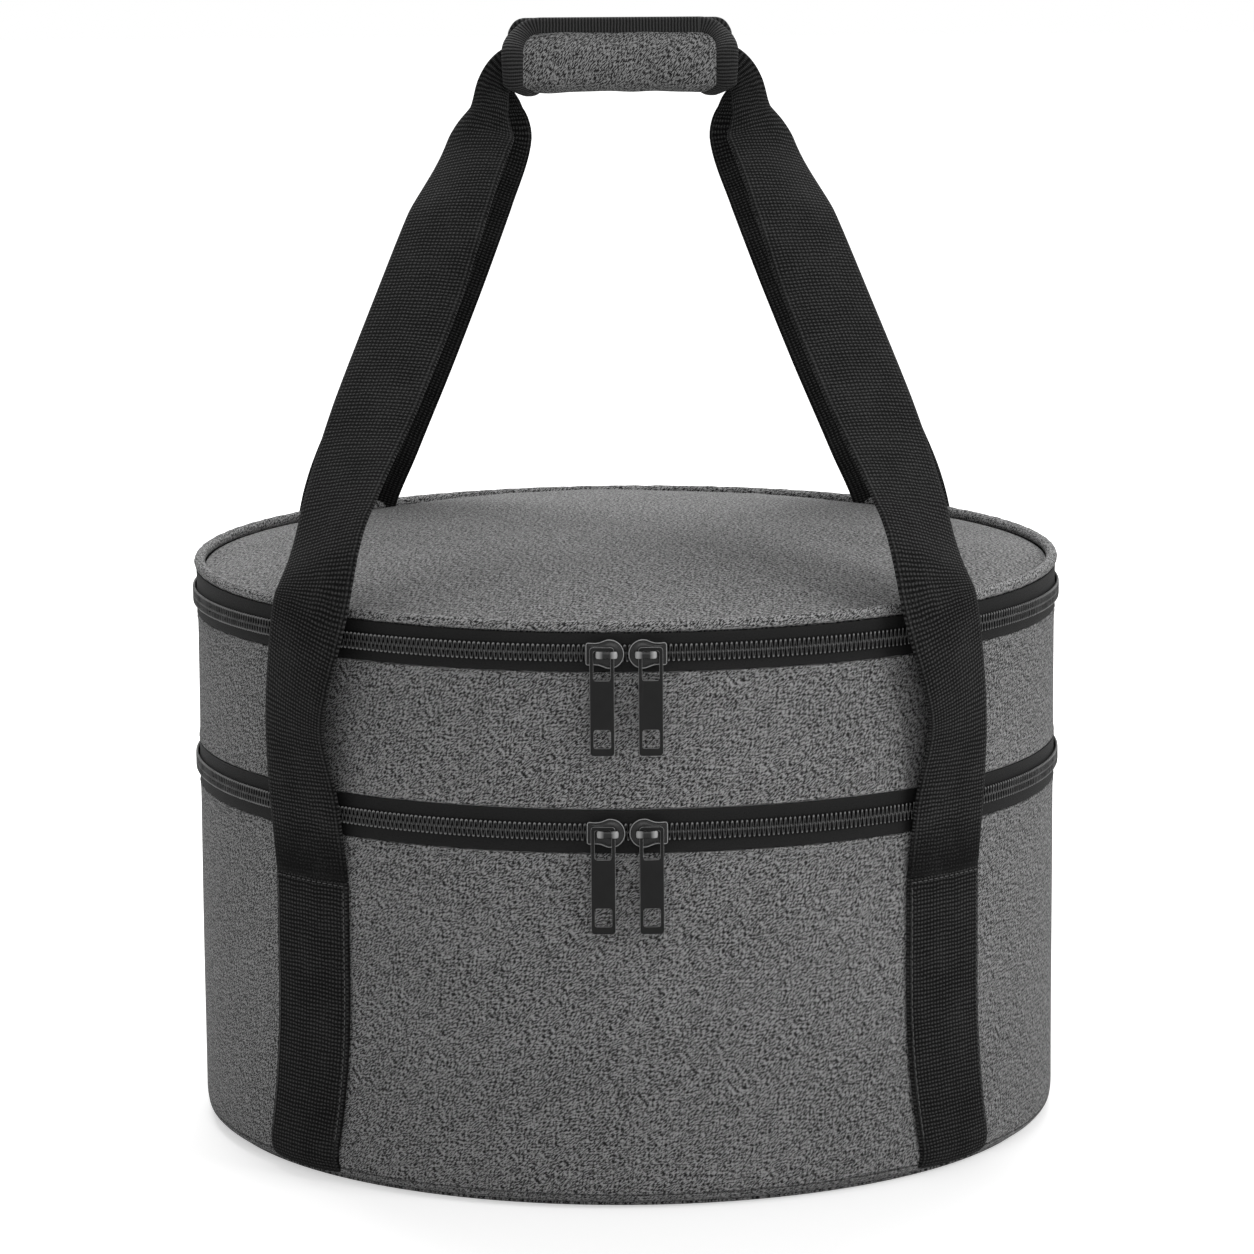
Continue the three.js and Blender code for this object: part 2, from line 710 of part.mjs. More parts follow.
// The binding folded over the flap's two ends and its top edge.
function flapBinding() {
  const strips = [];
  const rise = wrapLength - wrapCorner;
  const place = (x, up, inX, inUp) => {
    strips.push({
      outer: [onFlap(x, up, 0), onFlap(inX, inUp, 0)],
      inner: [onFlap(x, up, bindingThickness), onFlap(inX, inUp, bindingThickness)],
    });
  };
  for (const side of [1, -1]) {
    const half = [];
    for (let i = 0; i <= flapRows; i += 1) {
      const up = (rise * i) / flapRows;
      const end = wrapHalfLength - endDraw(up);
      half.push([side * end, up, side * (end - bindingWidth), up]);
    }
    for (let i = 1; i <= cornerRows; i += 1) {
      const turn = (i / cornerRows) * (Math.PI / 2);
      const from = (radius) => [
        side * (wrapHalfLength - wrapCorner + radius * Math.cos(turn)),
        rise + radius * Math.sin(turn),
      ];
      half.push([...from(wrapCorner), ...from(wrapCorner - bindingWidth)]);
    }
    if (side < 0) half.reverse();
    for (const corner of half) place(...corner);
  }
  return lofted(strips);
}

// The hook or loop tape inside a flap's top edge, which holds the two flaps together.
function flapClosure() {
  const strips = [];
  const high = wrapLength - 1;
  const half = wrapHalfLength - wrapCorner;
  const fromDepth = bindingThickness + gap;
  for (let i = 0; i <= 3; i += 1) {
    const up = high - closureWidth * (1 - i / 3);
    strips.push({
      outer: [onFlap(-half, up, fromDepth), onFlap(half, up, fromDepth)],
      inner: [onFlap(-half, up, fromDepth + closureThickness), onFlap(half, up, fromDepth + closureThickness)],
    });
  }
  return lofted(strips);
}

for (const [flap, toRear, closure] of [
  ["front", false, "loop"],
  ["rear", true, "hook"],
]) {
  const placed = (geometry) => (toRear ? facedOut(geometry.scale(1, -1, 1)) : geometry);
  const inset = bindingWidth + gap;
  const paddingFrom = wrapFabric + gap;
  add(`wrap_${flap}_panel`, placed(flapLayer(inset, 0, wrapFabric)), "heather");
  add(`wrap_${flap}_padding`, placed(flapLayer(inset, paddingFrom, paddingFrom + wrapPadding)), "foam");
  add(`wrap_${flap}_binding`, placed(flapBinding()), "binding");
  add(`wrap_${closure}_tape`, placed(flapClosure()), "closure");
}

export default bag;
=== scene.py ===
import math

import bmesh
import bpy
import numpy as np
from mathutils import Matrix, Vector


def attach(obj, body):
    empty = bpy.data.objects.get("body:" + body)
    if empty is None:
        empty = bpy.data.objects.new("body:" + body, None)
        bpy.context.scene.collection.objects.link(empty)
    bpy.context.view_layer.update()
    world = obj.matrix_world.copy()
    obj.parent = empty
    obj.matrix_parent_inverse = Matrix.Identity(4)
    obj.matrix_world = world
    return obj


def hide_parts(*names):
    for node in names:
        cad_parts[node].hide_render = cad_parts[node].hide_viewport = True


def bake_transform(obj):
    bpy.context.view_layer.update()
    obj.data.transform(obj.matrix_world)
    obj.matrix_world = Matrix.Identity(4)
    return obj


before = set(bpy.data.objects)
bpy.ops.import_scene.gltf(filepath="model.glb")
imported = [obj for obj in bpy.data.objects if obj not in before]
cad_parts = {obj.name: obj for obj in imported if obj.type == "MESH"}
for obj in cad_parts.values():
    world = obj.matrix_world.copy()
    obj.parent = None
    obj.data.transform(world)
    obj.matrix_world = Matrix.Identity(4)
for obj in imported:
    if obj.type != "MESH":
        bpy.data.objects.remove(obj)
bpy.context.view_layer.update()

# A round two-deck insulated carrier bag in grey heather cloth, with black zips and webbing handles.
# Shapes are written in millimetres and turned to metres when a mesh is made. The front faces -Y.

SCENE = bpy.context.scene
MM = 0.001
CLOTH_MAP = "Cloth"  # every mesh's UV map, in metres along the cloth

# The sizes are the solids' own, but for these: the lid lies flatter and slopes up to the back, the grip is a
# little lower and leans to the left, the straps stand a little further round, and the piping is thicker.
BODY = 190.0
MID_ZIP = 160.0
TOP_ZIP = 234.4
MID_TAPE = 9.0
TOP_TAPE = 8.0
ZIP_END = math.radians(150)
STRAP_RIM = TOP_ZIP + 18.4  # where the webbing turns in over the lid
PIPING_RADIUS = 2.4
PIPING = TOP_ZIP + TOP_TAPE + PIPING_RADIUS + 0.2
LID_RIM = BODY - 3.6
LID_RISE = 18.0
LID_LIFT = 6.6  # how much higher the lid's rim lies behind than in front
STRAP = 44.5
STRAP_THICK = 2.2
STRAP_ANGLE = math.radians(44.3)
SEWN_OUTER = 192.6
SEWN_TOP = MID_ZIP - 29.0
WRAP_HALF = 51.7
WRAP_BOTTOM = 451.1
WRAP_HEIGHT = 34.4
WRAP_DEPTH = 16.0
GRIP_RISE = 14.0
LEAN = -1.1  # how far the grip stands to the right of the middle, so it stands to the left
FOLD_DRAW = 8.4
FOLD_DRAW_REACH = 13.0
SLIDER = 15.6
SLIDER_NOSE = 5.8
SLIDER_TAIL = 4.4
COIL_OUTER = 192.3
SLIDER_TURN = (1 + SLIDER / 2) / COIL_OUTER  # how far round from the front a closed slider's middle is
CHAIN_HALF = 3.2  # half the height of a zip's coil
FOAM_OUT = 188.5
FOAM_IN = 182.5
LINING_OUT = 182.2
LINING_IN = 181.4
FLANGE_OUT = 189.2  # how far the linings reach out over the foam

# The camera's place in metres, its turns in degrees and its lens in millimetres, all fitted to the photograph
EYE = (0.0004, -2.2, 0.564)
TILT = 80.98
ROLL = -0.37
LENS = 143.3


# Camera and light

def add_object(name, data):
    made = bpy.data.objects.new(name, data)
    SCENE.collection.objects.link(made)
    return made


def add_camera():
    data = bpy.data.cameras.new("camera")
    data.lens = LENS
    data.sensor_width = 36
    data.clip_end = 30
    camera = add_object("camera", data)
    tilt = Matrix.Rotation(math.radians(TILT), 4, "X")
    roll = Matrix.Rotation(math.radians(ROLL), 4, "Z")
    camera.matrix_world = Matrix.Translation(EYE) @ tilt @ roll
    SCENE.camera = camera


def add_lamp(name, place, target, size, power):
    data = bpy.data.lights.new(name, "AREA")
    data.shape = "RECTANGLE"
    data.size, data.size_y = size
    data.energy = power
    lamp = add_object(name, data)
    lamp.location = place
    lamp.rotation_euler = (Vector(target) - Vector(place)).to_track_quat("-Z", "Y").to_euler()


add_camera()
add_lamp("key", (1.5, -1.0, 1.2), (0, 0, 0.2), (0.8, 0.9), 14)
add_lamp("overhead", (-0.1, 0.95, 1.9), (0, 0, 0.27), (1.6, 0.8), 34)
add_lamp("front", (0.15, -2.2, 0.9), (0, 0, 0.2), (1.2, 0.8), 7)


# Materials

def add_node(tree, kind, inputs=None, **settings):
    """A shader node whose inputs, by name or number, are linked to a socket or set to a constant."""
    made = tree.nodes.new("ShaderNode" + kind)
    for key, value in settings.items():
        setattr(made, key, value)
    for key, value in (inputs or {}).items():
        if isinstance(value, bpy.types.NodeSocket):
            tree.links.new(value, made.inputs[key])
        else:
            made.inputs[key].default_value = value
    return made


def calc(tree, operation, *values):
    return add_node(tree, "Math", dict(enumerate(values)), operation=operation).outputs[0]


def grey(level):
    """An sRGB grey, 0 to 255, as a linear colour."""
    s = level / 255
    linear = s / 12.92 if s <= 0.04045 else ((s + 0.055) / 1.055) ** 2.4
    return (linear, linear, linear, 1)


class Look:
    """A material's node tree with short calls for the nodes that the looks share."""

    def __init__(self, name, slot, specular, sheen=0.0, sheen_rough=0.4, metallic=0.0, solid=False):
        self.slot = slot
        self.material = bpy.data.materials.new(name)
        self.material.use_nodes = True
        self.tree = self.material.node_tree
        self.shader = self.tree.nodes["Principled BSDF"]
        for socket, value in (("Specular IOR Level", specular), ("Sheen Weight", sheen),
                              ("Sheen Roughness", sheen_rough), ("Metallic", metallic)):
            self.shader.inputs[socket].default_value = value
        self.solid = solid  # takes its places from the object, not from the cloth's map
        if solid:
            self.place = self.node("TexCoord").outputs["Object"]
        else:
            self.place = self.node("UVMap", uv_map=CLOTH_MAP).outputs["UV"]
        apart = self.node("SeparateXYZ", {"Vector": self.place})
        self.along, self.across = apart.outputs["X"], apart.outputs["Y"]

    def node(self, kind, inputs=None, **settings):
        return add_node(self.tree, kind, inputs, **settings)

    def calc(self, operation, *values):
        return calc(self.tree, operation, *values)

    def total(self, *terms):
        """The sum of values and of (value, weight) pairs."""
        parts = [self.calc("MULTIPLY", *term) if isinstance(term, tuple) else term for term in terms]
        result = parts[0]
        for part in parts[1:]:
            result = self.calc("ADD", result, part)
        return result

    def noise(self, scale, turn=0.0, detail=2.0, rough=0.5, seed=0.0):
        """Noise whose cells are 1 / scale metres along and across a turned line, less its middle value."""
        place = self.node("Mapping", {
            "Vector": self.place, "Location": (seed, seed * 1.7, 0),
            "Rotation": (0, 0, math.radians(turn)), "Scale": (1 / scale[0], 1 / scale[1], 1 / scale[1])},
            vector_type="TEXTURE")
        cells = self.node("TexNoise", {
            "Vector": place.outputs[0], "Scale": 1.0, "Detail": detail, "Roughness": rough},
            noise_dimensions="3D" if self.solid else "2D")
        return self.calc("SUBTRACT", cells.outputs[0], 0.5)

    def wave(self, place, pitch):
        """A sine from 0 to 1 along a length in metres."""
        turns = self.calc("MULTIPLY", place, 2 * math.pi / pitch)
        return self.calc("MULTIPLY_ADD", self.calc("SINE", turns), 0.5, 0.5)

    def spread(self, value, low, high, to_low=0.0, to_high=1.0):
        made = self.node("MapRange", {
            "Value": value, "From Min": low, "From Max": high, "To Min": to_low, "To Max": to_high})
        return made.outputs[0]

    def colour(self, value, dark, light):
        """Base colour between two greys, each written as sRGB 0 to 255."""
        mix = self.node("Mix", {0: value, 6: grey(dark), 7: grey(light)}, data_type="RGBA")
        self.tree.links.new(mix.outputs[2], self.shader.inputs["Base Color"])

    def rough(self, value, to_low, to_high, low=-0.3, high=0.3):
        """Roughness that runs between two levels as a value, such as a noise, does."""
        self.tree.links.new(self.spread(value, low, high, to_low, to_high), self.shader.inputs["Roughness"])

    def bump(self, height, distance):
        made = self.node("Bump", {"Height": height, "Distance": distance, "Strength": 1.0})
        self.tree.links.new(made.outputs[0], self.shader.inputs["Normal"])


def heather_look(name, mean):
    """Melange cloth of a mean grey: a fine diagonal grain of flecks, crossed by longer threads both ways."""
    look = Look(name, "heather_fabric", 0.2, 0.06, 0.5)
    grain = look.noise((620, 2200), turn=38, seed=11, detail=0)
    cross = look.noise((800, 2200), turn=-28, seed=3, detail=0)
    speck = look.noise((2600, 2600), seed=17, detail=0)
    patch = look.noise((150, 260), turn=20, seed=7, detail=1)
    weft = look.noise((130, 1900), seed=23, detail=1)
    warp = look.noise((1900, 140), seed=29, detail=1)
    tone = look.noise((14, 22), seed=31)
    flecks = look.total((grain, 3.6), (cross, 0.9), (speck, 1.4), (patch, 0.4))
    thick_weft, thick_warp = look.spread(weft, 0.17, 0.28), look.spread(warp, 0.19, 0.3)
    slubs = look.total((weft, 1.2), warp, (thick_weft, 0.4), (thick_warp, 0.3))
    look.colour(look.total(flecks, slubs, (tone, 0.3), 0.45), mean * 0.36, mean * 1.66)
    look.rough(flecks, 0.95, 0.8, -0.9, 0.9)
    look.bump(look.total(flecks, slubs), 0.00011)
    return look


def webbing_look():
    """Ribbed webbing: rows across it, columns along it and a plain selvedge, pressed flatter by its root,
    where painted shade darkens it.
    """
    look = Look("webbing_weave", "webbing", 0.1, 0.02)
    drift = look.noise((180, 90), seed=5)
    rows = look.wave(look.calc("MULTIPLY_ADD", drift, 0.0012, look.along), 0.0017)
    columns = look.wave(look.calc("MULTIPLY_ADD", drift, 0.0009, look.across), 0.0019)
    edge = look.calc("ABSOLUTE", look.across)
    selvedge = look.calc("MULTIPLY", look.spread(edge, 0.0198, 0.0203), look.spread(edge, 0.0214, 0.0209))
    ridges = look.calc("MULTIPLY_ADD", columns, 0.85, 0.15)
    knots = look.calc("MULTIPLY", look.calc("POWER", rows, 1.3), ridges)
    woven = look.calc("MAXIMUM", knots, look.calc("MULTIPLY", selvedge, 0.3))
    # Near its root the weave is smoothed for the pressed fold, and darkened as painted shade from the fold.
    weave_with_root_shade = look.calc("MULTIPLY", woven, look.spread(look.along, 0.004, 0.024, 0.3, 1.0))
    fibre = look.noise((1300, 1300), seed=9, detail=1)
    patches = look.noise((60, 60), seed=13)
    look.colour(look.total(weave_with_root_shade, (fibre, 0.9), (patches, 0.35), -0.03), 7, 66)
    look.rough(weave_with_root_shade, 0.95, 0.75, 0, 1)
    look.bump(look.calc("MULTIPLY_ADD", fibre, 0.25, weave_with_root_shade), 0.0003)
    return look


def binding_look():
    """Ribbed grosgrain: one rib every 1.4 mm along the tape."""
    look = Look("binding_ribs", "binding", 0.15, 0.05)
    ribs = look.wave(look.calc("MULTIPLY_ADD", look.noise((90, 300), seed=2), 0.0004, look.along), 0.0014)
    threads = look.wave(look.across, 0.0007)
    fibre = look.noise((2600, 2600), seed=4)
    look.colour(look.total((ribs, 0.8), (threads, 0.15), (fibre, 0.9), -0.05), 12, 64)
    look.rough(ribs, 0.95, 0.75, 0, 1)
    look.bump(look.calc("MULTIPLY_ADD", threads, 0.2, ribs), 0.00035)
    return look


def tape_look():
    """Smooth zip tape with a fine twill line, and painted shade that darkens it behind the coil."""
    look = Look("zip_tape_twill", "zip_tape", 0.16, 0.02)
    twill = look.wave(look.total(look.along, (look.across, 1.3)), 0.0008)
    fibre = look.noise((1800, 1800), seed=6)
    # Painted shade: the tape's colour goes to black behind the coil, 0 under it and 1 from 1.2 mm past its
    # edge.
    painted_coil_shade = look.spread(look.across, CHAIN_HALF * MM, (CHAIN_HALF + 1.2) * MM)
    look.colour(look.calc("MULTIPLY", look.total((twill, 0.25), (fibre, 2.4), 1.0), painted_coil_shade), 4, 26)
    look.rough(fibre, 0.85, 0.65)
    look.bump(look.calc("MULTIPLY_ADD", twill, 0.5, fibre), 0.0001)
    return look


def coil_look():
    """Black nylon monofilament, with painted highlights where it bends at its heads and its outer ends."""
    look = Look("coil_nylon", "zip_coil", 0.45)
    drift = look.noise((400, 400), seed=8)
    # Painted highlights: the heads in the middle and the outer bends are coloured lighter, where light glints
    # on them.
    painted_head_highlight = look.spread(look.across, 0.0007, 0.0002)
    bend = look.spread(look.across, 0.0026, 0.0031)
    look.colour(look.total((drift, 0.3), (painted_head_highlight, 0.16), (bend, 0.75), 0.13), 2, 124)
    look.rough(drift, 0.25, 0.4)
    look.bump(drift, 0.00005)
    return look


def metal_look(name, base, specular, polish):
    """Black lacquered zinc, a little worn to a lighter grey; given a light base, it is the painted highlight
    on the pulls' bevelled edges and the sliders' rims.
    """
    look = Look(name, "zip_metal", specular, solid=True)
    drift = look.noise((220, 220), seed=12)
    grain = look.noise((3000, 3000), seed=14, detail=1)
    look.colour(look.total(drift, (grain, 0.5), 0.5), base, base + 12)
    look.rough(drift, polish, polish + 0.14)
    look.bump(grain, 0.00002)
    return look


def slider_look():
    """The same lacquer, with painted highlights where the slider's bridge bends at its two ends."""
    look = Look("slider_lacquer", "zip_metal", 0.3, solid=True)
    aside = look.calc("ABSOLUTE", look.along)
    along = look.total((look.across, math.sin(SLIDER_TURN)), (aside, math.cos(SLIDER_TURN)))
    out = look.total((look.across, -math.cos(SLIDER_TURN)), (aside, math.sin(SLIDER_TURN)))
    # Painted highlight: the bridge's two ends, high above the plate, are coloured light and made glossier.
    bridge_ends = look.spread(look.calc("ABSOLUTE", look.calc("ADD", along, 0.00095)), 0.0014, 0.0034)
    painted_bridge_highlight = look.calc("MULTIPLY", bridge_ends, look.spread(out, 0.1966, 0.1971))
    grain = look.noise((3000, 3000), seed=14, detail=1)
    look.colour(look.total(painted_bridge_highlight, (grain, 0.1), 0.03), 6, 160)
    look.rough(painted_bridge_highlight, 0.26, 0.2, 0, 1)
    look.bump(grain, 0.00002)
    return look


def grained_look(name, slot, specular, scale, contrast, levels, roughs, depth, seed, solid=False):
    """One even grain between two greys, for what is inside the bag."""
    look = Look(name, slot, specular, solid=solid)
    grain = look.noise(scale, seed=seed)
    look.colour(look.total((grain, contrast), 0.5), *levels)
    look.rough(grain, *roughs)
    look.bump(grain, depth)
    return look


def lining_look():
    """Crinkled silvery foil lining."""
    look = Look("foil_lining", "lining", 0.5, metallic=0.55)
    folds = look.node("TexVoronoi", {"Vector": look.place, "Scale": 140.0},
                      voronoi_dimensions="2D", feature="F1")
    crinkle = look.noise((60, 60), detail=5, rough=0.65, seed=19)
    height = look.calc("MULTIPLY_ADD", crinkle, 1.5, folds.outputs["Distance"])
    look.colour(look.calc("ADD", crinkle, 0.5), 158, 205)
    look.rough(crinkle, 0.3, 0.5)
    look.bump(height, 0.0006)
    return look


def closure_look():
    """Hook and loop tape: rows of tiny hooks or a loop nap."""
    look = Look("closure_nap", "hook_and_loop", 0.2, 0.2, 0.5)
    dots = look.calc("MULTIPLY", look.wave(look.along, 0.0012), look.wave(look.across, 0.0012))
    nap = look.noise((2200, 2200), seed=25)
    value = look.total(dots, nap)
    look.colour(value, 12, 44)
    look.rough(nap, 1.0, 0.8)
    look.bump(value, 0.0004)
    return look


def thread_look(name, slot, dark, light):
    look = Look(name, slot, 0.35)
    strands = look.wave(look.total(look.along, (look.across, 2.0)), 0.0005)
    look.colour(strands, dark, light)
    look.rough(strands, 0.8, 0.6, 0, 1)
    look.bump(strands, 0.00008)
    return look


HEATHER = heather_look("heather_cloth", 90)
GRIP_CLOTH = heather_look("grip_cloth", 84)
PIPING_CLOTH = heather_look("piping_cloth", 96)
WEBBING = webbing_look()
BINDING = binding_look()
TAPE = tape_look()
COIL = coil_look()
SLIDER_METAL = slider_look()
PULL_METAL = metal_look("pull_lacquer", 10, 0.2, 0.36)
# Painted highlight: a light grey for the pulls' bevelled edges and the sliders' rim beads, where light
# glints.
EDGE_HIGHLIGHT = metal_look("painted_edge_highlight", 132, 0.8, 0.25)
FOAM = grained_look("foam_cells", "foam", 0.2, (900, 900), 1.2, (205, 238), (0.95, 0.85), 0.0004, 15)
LINING = lining_look()
BOARD = grained_look("stiff_board", "board", 0.4, (300, 1500), 1.0, (48, 70), (0.7, 0.5), 0.0001, 21, True)
CLOSURE = closure_look()
PALE_THREAD = thread_look("pale_thread", "heather_fabric", 96, 165)
DARK_THREAD = thread_look("dark_thread", "webbing", 40, 104)


# Mesh making

def around(radius, angle, z):
    """Points at a radius and an angle round the bag, which starts at the front and grows to the right."""
    radius, angle, z = np.broadcast_arrays(radius, angle, z)
    return np.stack([radius * np.sin(angle), -radius * np.cos(angle), z], -1)


def unit(vectors):
    return vectors / np.linalg.norm(vectors, axis=-1, keepdims=True)


def run(rows):
    """How far along each point of a path lies, or each row of a grid by the rows' mean steps."""
    steps = np.linalg.norm(np.diff(rows, axis=0), axis=-1)
    return np.concatenate([[0], np.cumsum(steps.reshape(len(steps), -1).mean(1))])


def grid(points, wrap=(False, False), uv=None, caps=False):
    """Vertices, faces and UVs of a grid of points that may close on itself either way."""
    rows, columns = points.shape[:2]
    if uv is None:
        lengths = [run(np.concatenate([p, p[:1]])) for p in (points, points.swapaxes(0, 1))]
        uv = np.stack(np.meshgrid(*lengths, indexing="ij"), -1)
    index = np.arange(rows * columns).reshape(rows, columns)
    i, j = np.meshgrid(np.arange(rows - (not wrap[0])), np.arange(columns - (not wrap[1])), indexing="ij")
    i, j = i.ravel(), j.ravel()
    corners = [(i, j), (i + 1, j), (i + 1, j + 1), (i, j + 1)]
    faces = np.stack([index[a % rows, b % columns] for a, b in corners], -1).tolist()
    fit = uv.shape[:2]
    loops = np.stack([uv[a % fit[0], b % fit[1]] for a, b in corners], 1).reshape(-1, 2).tolist()
    if caps:
        for row, order in ((0, -1), (rows - 1, 1)):
            faces.append(index[row][::order].tolist())
            loops += (uv[row, :columns] + [[3.0, 0]] * columns)[::order].tolist()
    return points.reshape(-1, 3), faces, loops


def joined(parts):
    """Several (vertices, faces, UVs) as one."""
    points, faces, loops, first = [], [], [], 0
    for p, f, l in parts:
        points.append(p)
        faces += [[first + k for k in face] for face in f]
        loops += l
        first += len(p)
    return np.concatenate(points), faces, loops


def make(name, shape, look, body=None, stands_for=(), sharp=None):
    """A piece of the bag from (vertices, faces, UVs) in millimetres."""
    points, faces, loops = shape
    mesh = bpy.data.meshes.new(name)
    mesh.from_pydata((points * MM).tolist(), [], faces)
    layer = mesh.uv_layers.new(name=CLOTH_MAP)
    layer.data.foreach_set("uv", (np.array(loops) * MM).ravel())
    built = bmesh.new()
    built.from_mesh(mesh)
    bmesh.ops.remove_doubles(built, verts=built.verts, dist=1e-6)
    bmesh.ops.recalc_face_normals(built, faces=built.faces)
    for face in built.faces:
        face.smooth = True
    built.to_mesh(mesh)
    built.free()
    if sharp:
        mesh.set_sharp_from_angle(angle=math.radians(sharp))
    mesh.materials.append(look.material)
    piece = add_object(name, mesh)
    if stands_for:
        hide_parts(*stands_for)
    if body:
        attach(piece, body)
    return piece


def outline(corners, step=4.0, closed=True):
    """A profile through (radius, height, rounding) corners, with no stretch longer than step."""
    at = np.array([c[:2] for c in corners], float)
    rounding = [c[2] if len(c) > 2 else 0 for c in corners]
    points = []
    for k, (middle, size) in enumerate(zip(at, rounding)):
        ends = not closed and k in (0, len(at) - 1)
        if ends or not size:
            points.append(middle)
            continue
        before, after = at[k - 1] - middle, at[(k + 1) % len(at)] - middle
        a, b = middle + unit(before) * size, middle + unit(after) * size
        for t in np.linspace(0, 1, 5):
            points.append((1 - t) ** 2 * a + 2 * t * (1 - t) * middle + t ** 2 * b)
    result = []
    following = points[1:] + (points[:1] if closed else [])
    for a, b in zip(points, following):
        count = max(1, int(np.ceil(np.linalg.norm(b - a) / step)))
        result += [a + (b - a) * k / count for k in range(count)]
    if not closed:
        result.append(points[-1])
    return np.array(result)


def turned(profile, sector=None, count=240, closed=True, shift=None, flat=False):
    """A profile turned round the bag, whole or over a sector. shift gives each point's (outward, upward)
    move from its angle, radius and height. A flat cloth keeps its weave square."""
    low, high = sector or (0, 2 * math.pi)
    angle = np.linspace(low, high, count + 1)[: None if sector else -1]
    a = angle[:, None] + 0 * profile[None, :, 0]
    r = profile[None, :, 0] + 0 * a
    z = profile[None, :, 1] + 0 * a
    if shift:
        out, up = shift(a, r, z)
        r, z = r + out, z + up
    points = around(r, a, z)
    uv = None
    if flat:
        t = run(profile)
        t = np.minimum(t, t[-1] - t) if not closed else t
        full = np.linspace(low, high, count + 1)[:, None]
        uv = np.stack([t * np.sin(full), -t * np.cos(full)], -1)
    return grid(points, (sector is None, closed), uv, caps=sector is not None)


def tube(path, radius, sides=6, wrap=False):
    """A round thread along a path of points."""
    path = np.asarray(path, float)
    ahead = unit(np.roll(path, -1, 0) - path if wrap else np.gradient(path, axis=0))
    side = np.cross(ahead[0], [0.3, 0.5, 0.81])
    sides_at = []
    for direction in ahead:
        side = unit(side - direction * (side @ direction))
        sides_at.append(side)
    x = np.array(sides_at)
    y = np.cross(ahead, x)
    turn = np.linspace(0, 2 * math.pi, sides, endpoint=False)
    radius = np.broadcast_to(radius, len(path))[:, None, None]
    ring = x[:, None] * np.cos(turn)[None, :, None] + y[:, None] * np.sin(turn)[None, :, None]
    return grid(path[:, None] + radius * ring, (wrap, True), caps=not wrap)


# How cloth lies: slow waves, and puckers along a seam

def waves(angle, z, rows):
    """A sum of waves round the bag: (size, count, start, how far up they take to turn)."""
    return sum(size * np.sin(count * angle + start + z / fall) for size, count, start, fall in rows)


WALL_WAVES = [(0.10, 5, 1.1, 60), (0.07, 11, 2.3, -35), (0.04, 23, 0.4, 21)]
STITCH_IN = 2.2  # from a cloth's edge to its topstitching
PUCKERS = [(0.5, 97, 0.7, 1e9), (0.3, 131, 2.1, 1e9), (0.35, 61, 4.4, 1e9)]


def puckers(angle, distance, size, reach):
    """Small gathers next to a seam, which fade with the distance from it."""
    return size * waves(angle, 0 * angle, PUCKERS) * np.exp(-((distance / reach) ** 2))


def wall_shift(edges):
    """The wall's waves, with gathers by each edge and the dip that the topstitching pulls."""
    def shift(angle, r, z):
        out = 0.21 + waves(angle, z, WALL_WAVES)
        for edge, stitched in edges:
            distance = np.abs(z - edge)
            out = out + puckers(angle, distance, 0.16, 7.0) * (distance > 0.5)
            if stitched:
                out = out - 0.3 * np.exp(-(((distance - STITCH_IN) / 0.9) ** 2)) * (r > BODY - 0.6)
        return out, 0.25 * waves(angle, 0 * z, PUCKERS) * np.exp(-((np.abs(z - edges[0][0]) / 3) ** 2))
    return shift


STITCH = np.linspace(-1, 1, 6)  # the places along a stitch, which dives in at both ends


def stitch_row(radius, z):
    """Stitches that lie along a ring round the bag."""
    count = 330
    half = 1.25 / radius
    out = radius + 0.32 * (1 - STITCH ** 2) - 0.2
    thick = 0.3 * (1 - 0.45 * STITCH ** 4)
    angles = np.arange(count) * 2 * math.pi / count
    return joined([tube(around(out, angle + STITCH * half, z), thick, 5) for angle in angles])


# Base and deck walls

def folded_top(high):
    """The corners of a wall's top edge, which is turned in to a soft fold."""
    return [(BODY, high - STITCH_IN - 1.5, 1.0), (BODY + 0.35, high - 1.2, 0.5), (BODY + 0.35, high, 0.55),
            (BODY - 1.2, high, 0.5)]


base_top = MID_ZIP - MID_TAPE - 0.3
deck_low = MID_ZIP + MID_TAPE + 0.3
deck_high = TOP_ZIP - TOP_TAPE - 0.3

base_corners = [(183.0, 1.9), (186.2, 1.9, 1.6), (189.1, 4.4, 1.8), (BODY, 9.0, 3.0), *folded_top(base_top),
                (BODY - 1.2, 9.6, 2.0), (188.0, 6.4, 1.5), (186.0, 3.3, 1.2), (183.0, 3.1)]
deck_corners = [(BODY + 0.35, deck_low, 0.55), (BODY + 0.35, deck_low + 1.2, 0.5),
                (BODY, deck_low + STITCH_IN + 1.5, 1.0), *folded_top(deck_high), (BODY - 1.2, deck_low, 0.5)]
for body, corners, edges in (("base", base_corners, [(base_top, True)]),
                             ("deck", deck_corners, [(deck_high, True), (deck_low, False)])):
    wall = turned(outline(corners, step=3.0), count=480, shift=wall_shift(edges))
    make(f"{body}_wall_cloth", wall, HEATHER, body, [f"{body}_wall_fabric"])
make("bottom_cloth", turned(outline([(0, 0), (184.0, 0, 0.7), (184.0, 1.6, 0.7), (0, 1.6)], 12, False),
                            closed=False, flat=True), HEATHER, "base", ["bottom_panel"])

for body, edge in (("base", base_top), ("deck", deck_high)):
    make(f"{body}_edge_stitches", stitch_row(BODY + 0.2, edge - STITCH_IN), PALE_THREAD, body)


# Lid

def dome(inset=0.0, drop=0.0, count=60):
    """The lid's surface from the middle to its rim inside the piping, as (radius, height) points."""
    points = []
    for turn in np.linspace(0, math.pi / 2, count):
        share = math.sin(turn)
        points.append(((LID_RIM - inset) * share, PIPING - 2 - drop + LID_RISE * (1 - share ** 2.6)))
    return points


